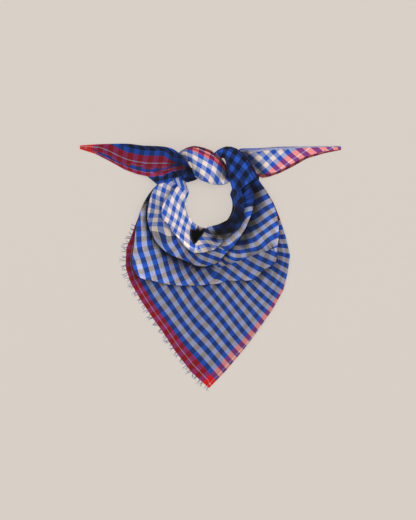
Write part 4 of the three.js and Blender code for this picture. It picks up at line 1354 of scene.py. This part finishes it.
class SCARF_OT_drape_cloth(bpy.types.Operator):
    """Drape the woven square: one grid of cloth, folded, pleated and tied"""

    bl_idname = "scarf.drape_cloth"
    bl_label = "Drape the gingham cloth"

    def execute(self, context):
        settings = context.scene.gingham_cloth
        grid = draped_cloth(settings)
        rows, columns = grid.points.shape[:2]
        deselect_all()
        bpy.ops.mesh.primitive_grid_add(
            x_subdivisions=columns - 1, y_subdivisions=rows - 1, size=1.0, calc_uvs=False
        )
        piece = made_object("gingham_scarf_cloth")
        mesh = piece.data
        if len(mesh.vertices) != rows * columns:
            raise RuntimeError("the cloth grid has the wrong number of vertices")
        mesh.vertices.foreach_set("co", (grid.points * MM).ravel())
        corner_vertex = np.zeros(len(mesh.loops), dtype=np.int32)
        mesh.loops.foreach_get("vertex_index", corner_vertex)
        places = (grid.places * MM).reshape(-1, 2)[corner_vertex]
        uv = mesh.uv_layers.new(name="cloth_place")
        uv.uv.foreach_set("vector", places.astype(np.float32).ravel())
        beyond = np.pad(grid.beyond * MM, ((0, 0), (0, 0), (0, 1)))
        for name, kind, field, values in (
            # the painted shade and highlights of the folds
            ("painted_fold_shade", "FLOAT", "value", grid.shade),
            ("parting", "FLOAT", "value", grid.parting),
            ("place_beyond", "FLOAT_VECTOR", "vector", beyond),
        ):
            layer = mesh.attributes.new(name, kind, "POINT")
            layer.data.foreach_set(field, values.astype(np.float32).ravel())
        mesh.update()
        solidify = piece.modifiers.new("cloth_thickness", "SOLIDIFY")
        solidify.thickness = settings.cloth_thickness
        solidify.offset = 0.0
        bpy.ops.object.modifier_apply(modifier=solidify.name)
        bpy.ops.object.shade_smooth_by_angle(angle=math.radians(70))
        piece.data.materials.append(gingham_cotton(settings))
        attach(piece, "root")
        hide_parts("scarf_cloth")
        return {"FINISHED"}


def left_hem(settings):
    """The hem that frays, from its upper end to the front corner: points in mm."""
    hem = draped_cloth(settings).points[:, 0, :]
    start = plan_to_mm(*NECK_MIDDLE)
    ways = np.degrees(np.arctan2(hem[:, 1] - start[1], hem[:, 0] - start[0])) + 90
    corner = np.argmin(np.abs(ways) + (hem[:, 2] > 3) * 90)
    upper = np.argmin(np.abs(ways - HEM_UPPER_WAY) + (hem[:, 2] > 8) * 90)
    return hem[min(corner, upper) : max(corner, upper) + 1]


def thread_roots(hem, count):
    """Where each thread starts: its point, and the ways along and out of the hem."""
    run = run_lengths(hem[:, :2])
    neck = plan_to_mm(*NECK_MIDDLE)
    for number in range(count):
        tuft = number // TUFT
        spot = (tuft + 0.5) * TUFT + 1.8 * math.sin(tuft * GOLDEN_ANGLE)
        spot += 0.45 * math.sin(number * 1.7)
        at = min(max(spot / count, 0.0), 1.0) * run[-1]
        i = min(int(np.searchsorted(run, at, side="right")) - 1, len(run) - 2)
        root = blend(hem[i], hem[i + 1], (at - run[i]) / max(run[i + 1] - run[i], 1e-6))
        along = hem[i + 1][:2] - hem[i][:2]
        along = along / np.linalg.norm(along)
        out = np.array((along[1], -along[0]))
        if np.dot(out, root[:2] - neck) < 0:
            out = -out
        yield number, tuft, root, along, out


def bent_thread(rod, root, along, out, settings, number, tuft):
    """The rod's points in mm, laid from its root and bent: threads of a tuft bend alike."""
    chance, second = (
        noise.noise(Vector(spot)) for spot in ((number * 1.37, 4.1, 0.3), (number * 0.83, 9.7, 2.3))
    )
    together = noise.noise(Vector((tuft * 1.13, 2.7, 5.9)))
    length = settings.thread_length * (0.35 + 1.1 * abs(together) + 0.4 * abs(chance)) / MM
    t = rod[:, 2:] + 0.5
    angle = 0.6 * (0.5 * second + 0.9 * math.sin(tuft * 1.9) + 1.5 * chance * t)
    way = out * np.cos(angle) + along * np.sin(angle)
    side = np.column_stack((-way[:, 1], way[:, 0]))
    across = rod[:, :2] / MM * (1.0 - 0.45 * t)
    plan = root[:2] + way * (length * np.maximum(t, 0) - 0.4) + side * across[:, :1]
    rise = np.maximum(settings.thread_radius / MM, root[2] * (1 - t * 1.5))
    return np.column_stack((plan, rise + across[:, 1:]))


class SCARF_OT_fray_hem(bpy.types.Operator):
    """Add the loose threads of the frayed left hem, copied from one rod and bent"""

    bl_idname = "scarf.fray_hem"
    bl_label = "Fray the left hem"

    def execute(self, context):
        settings = context.scene.frayed_hem
        hem = left_hem(context.scene.gingham_cloth)
        deselect_all()
        bpy.ops.mesh.primitive_cylinder_add(
            vertices=4, radius=settings.thread_radius, depth=1.0, end_fill_type="NGON"
        )
        model = made_object("loose_thread")
        bpy.ops.object.mode_set(mode="EDIT")
        for level in THREAD_BENDS:
            bpy.ops.mesh.select_all(action="SELECT")
            bpy.ops.mesh.bisect(plane_co=(0, 0, level), plane_no=(0, 0, 1))
        bpy.ops.object.mode_set(mode="OBJECT")
        rod = np.array([v.co[:] for v in model.data.vertices])
        deselect_all()
        for number, tuft, root, along, out in thread_roots(hem, settings.thread_count):
            mesh = model.data.copy()
            points = bent_thread(rod, root, along, out, settings, number, tuft)
            mesh.vertices.foreach_set("co", (points * MM).ravel())
            copy = bpy.data.objects.new("loose_thread_copy", mesh)
            context.collection.objects.link(copy)
            copy.select_set(True)
            if number == 0:
                context.view_layer.objects.active = copy
        bpy.ops.object.join()
        piece = made_object("frayed_hem_threads")
        bpy.data.objects.remove(model, do_unlink=True)
        bpy.ops.object.mode_set(mode="EDIT")
        bpy.ops.mesh.select_all(action="SELECT")
        bpy.ops.mesh.normals_make_consistent(inside=False)
        bpy.ops.object.mode_set(mode="OBJECT")
        bpy.ops.object.shade_smooth()
        piece.data.materials.append(frayed_thread_look(context.scene.gingham_cloth))
        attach(piece, "root")
        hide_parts("hem_fringe")
        return {"FINISHED"}


def table_top(settings):
    """Plain pale laminate with a faint mottling."""
    nodes = Nodes("pale_table_top")
    grain = nodes.noise(nodes.object_place(), 5.0, 4.0, "faint mottling")
    lamp_share = 1.0 - settings.even_light
    deeper, pale = (
        tuple(c * tone * lamp_share for c in settings.table_colour[:3]) + (1.0,)
        for tone in (0.985, 1.0)
    )
    return nodes.surface("table top", {
        "Base Color": nodes.mixed(grain, deeper, pale),
        "Emission Color": tuple(settings.table_glow),
        "Emission Strength": settings.even_light,
        "Roughness": 0.9,
        "Specular IOR Level": 0.1,
    })


class SCARF_OT_lay_table(bpy.types.Operator):
    """Lay the pale table, and set the soft lights and the overhead camera"""

    bl_idname = "scarf.lay_table"
    bl_label = "Lay the table and lights"

    def execute(self, context):
        settings = context.scene.pale_table
        deselect_all()
        bpy.ops.mesh.primitive_plane_add(size=9.0)
        table = made_object("pale_table")
        table.data.materials.append(table_top(settings))
        table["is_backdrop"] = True

        camera_data = bpy.data.cameras.new("overhead_camera")
        camera_data.sensor_width = 36.0
        camera_data.lens = camera_data.sensor_width * settings.camera_height / settings.frame_height
        camera_data.clip_end = 50.0
        camera = bpy.data.objects.new("overhead_camera", camera_data)
        camera.location = (*plan_to_mm(*CAMERA_OVER) * MM, settings.camera_height)
        context.collection.objects.link(camera)
        context.scene.camera = camera

        for name, place, size, power in (
            ("overhead_key", (-1.1, 1.8, 6.4), 4.5, settings.key_power),
            ("side_fill", (4.2, -1.8, 4.5), 5.4, settings.key_power * 0.3),
        ):
            lamp = bpy.data.lights.new(name, "AREA")
            lamp.energy = power
            lamp.size = size
            lamp.color = (1.0, 0.985, 0.965)
            light = bpy.data.objects.new(name, lamp)
            light.location = place
            light.rotation_euler = (-Vector(place)).to_track_quat("-Z", "Y").to_euler()
            context.collection.objects.link(light)

        world = bpy.data.worlds.new("soft_room")
        world.use_nodes = True
        sky = world.node_tree.nodes["Background"]
        sky.inputs["Color"].default_value = (1.0, 0.99, 0.975, 1.0)
        sky.inputs["Strength"].default_value = settings.fill_strength
        context.scene.world = world
        context.scene.view_settings.view_transform = "Standard"
        context.scene.view_settings.look = "None"
        return {"FINISHED"}


class SCARF_PT_panel(bpy.types.Panel):
    """Lists the scarf's pieces in the sidebar."""

    bl_label = "Gingham Scarf"
    bl_idname = "SCARF_PT_panel"
    bl_space_type = "VIEW_3D"
    bl_region_type = "UI"
    bl_category = "Gingham Scarf"

    def draw(self, context):
        for name, operator in (
            ("gingham_cloth", SCARF_OT_drape_cloth),
            ("frayed_hem", SCARF_OT_fray_hem),
            ("pale_table", SCARF_OT_lay_table),
        ):
            box = self.layout.box()
            settings = getattr(context.scene, name)
            for key in settings.bl_rna.properties.keys():
                if key not in ("rna_type", "name"):
                    box.prop(settings, key)
            box.operator(operator.bl_idname)


CLASSES = (
    GinghamCloth,
    FrayedHem,
    PaleTable,
    SCARF_OT_drape_cloth,
    SCARF_OT_fray_hem,
    SCARF_OT_lay_table,
    SCARF_PT_panel,
)


def register():
    for item in CLASSES:
        bpy.utils.register_class(item)
    bpy.types.Scene.gingham_cloth = bpy.props.PointerProperty(type=GinghamCloth)
    bpy.types.Scene.frayed_hem = bpy.props.PointerProperty(type=FrayedHem)
    bpy.types.Scene.pale_table = bpy.props.PointerProperty(type=PaleTable)


def unregister():
    del bpy.types.Scene.pale_table
    del bpy.types.Scene.frayed_hem
    del bpy.types.Scene.gingham_cloth
    for item in reversed(CLASSES):
        bpy.utils.unregister_class(item)


def main():
    register()
    bpy.ops.scarf.lay_table()
    bpy.ops.scarf.drape_cloth()
    bpy.ops.scarf.fray_hem()
    low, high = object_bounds()
    sizes = {
        "cad": [list(map(float, CAD_LOW)), list(map(float, CAD_HIGH))],
        "visual": [list(map(float, low)), list(map(float, high))],
    }


if __name__ == "__main__":
    main()
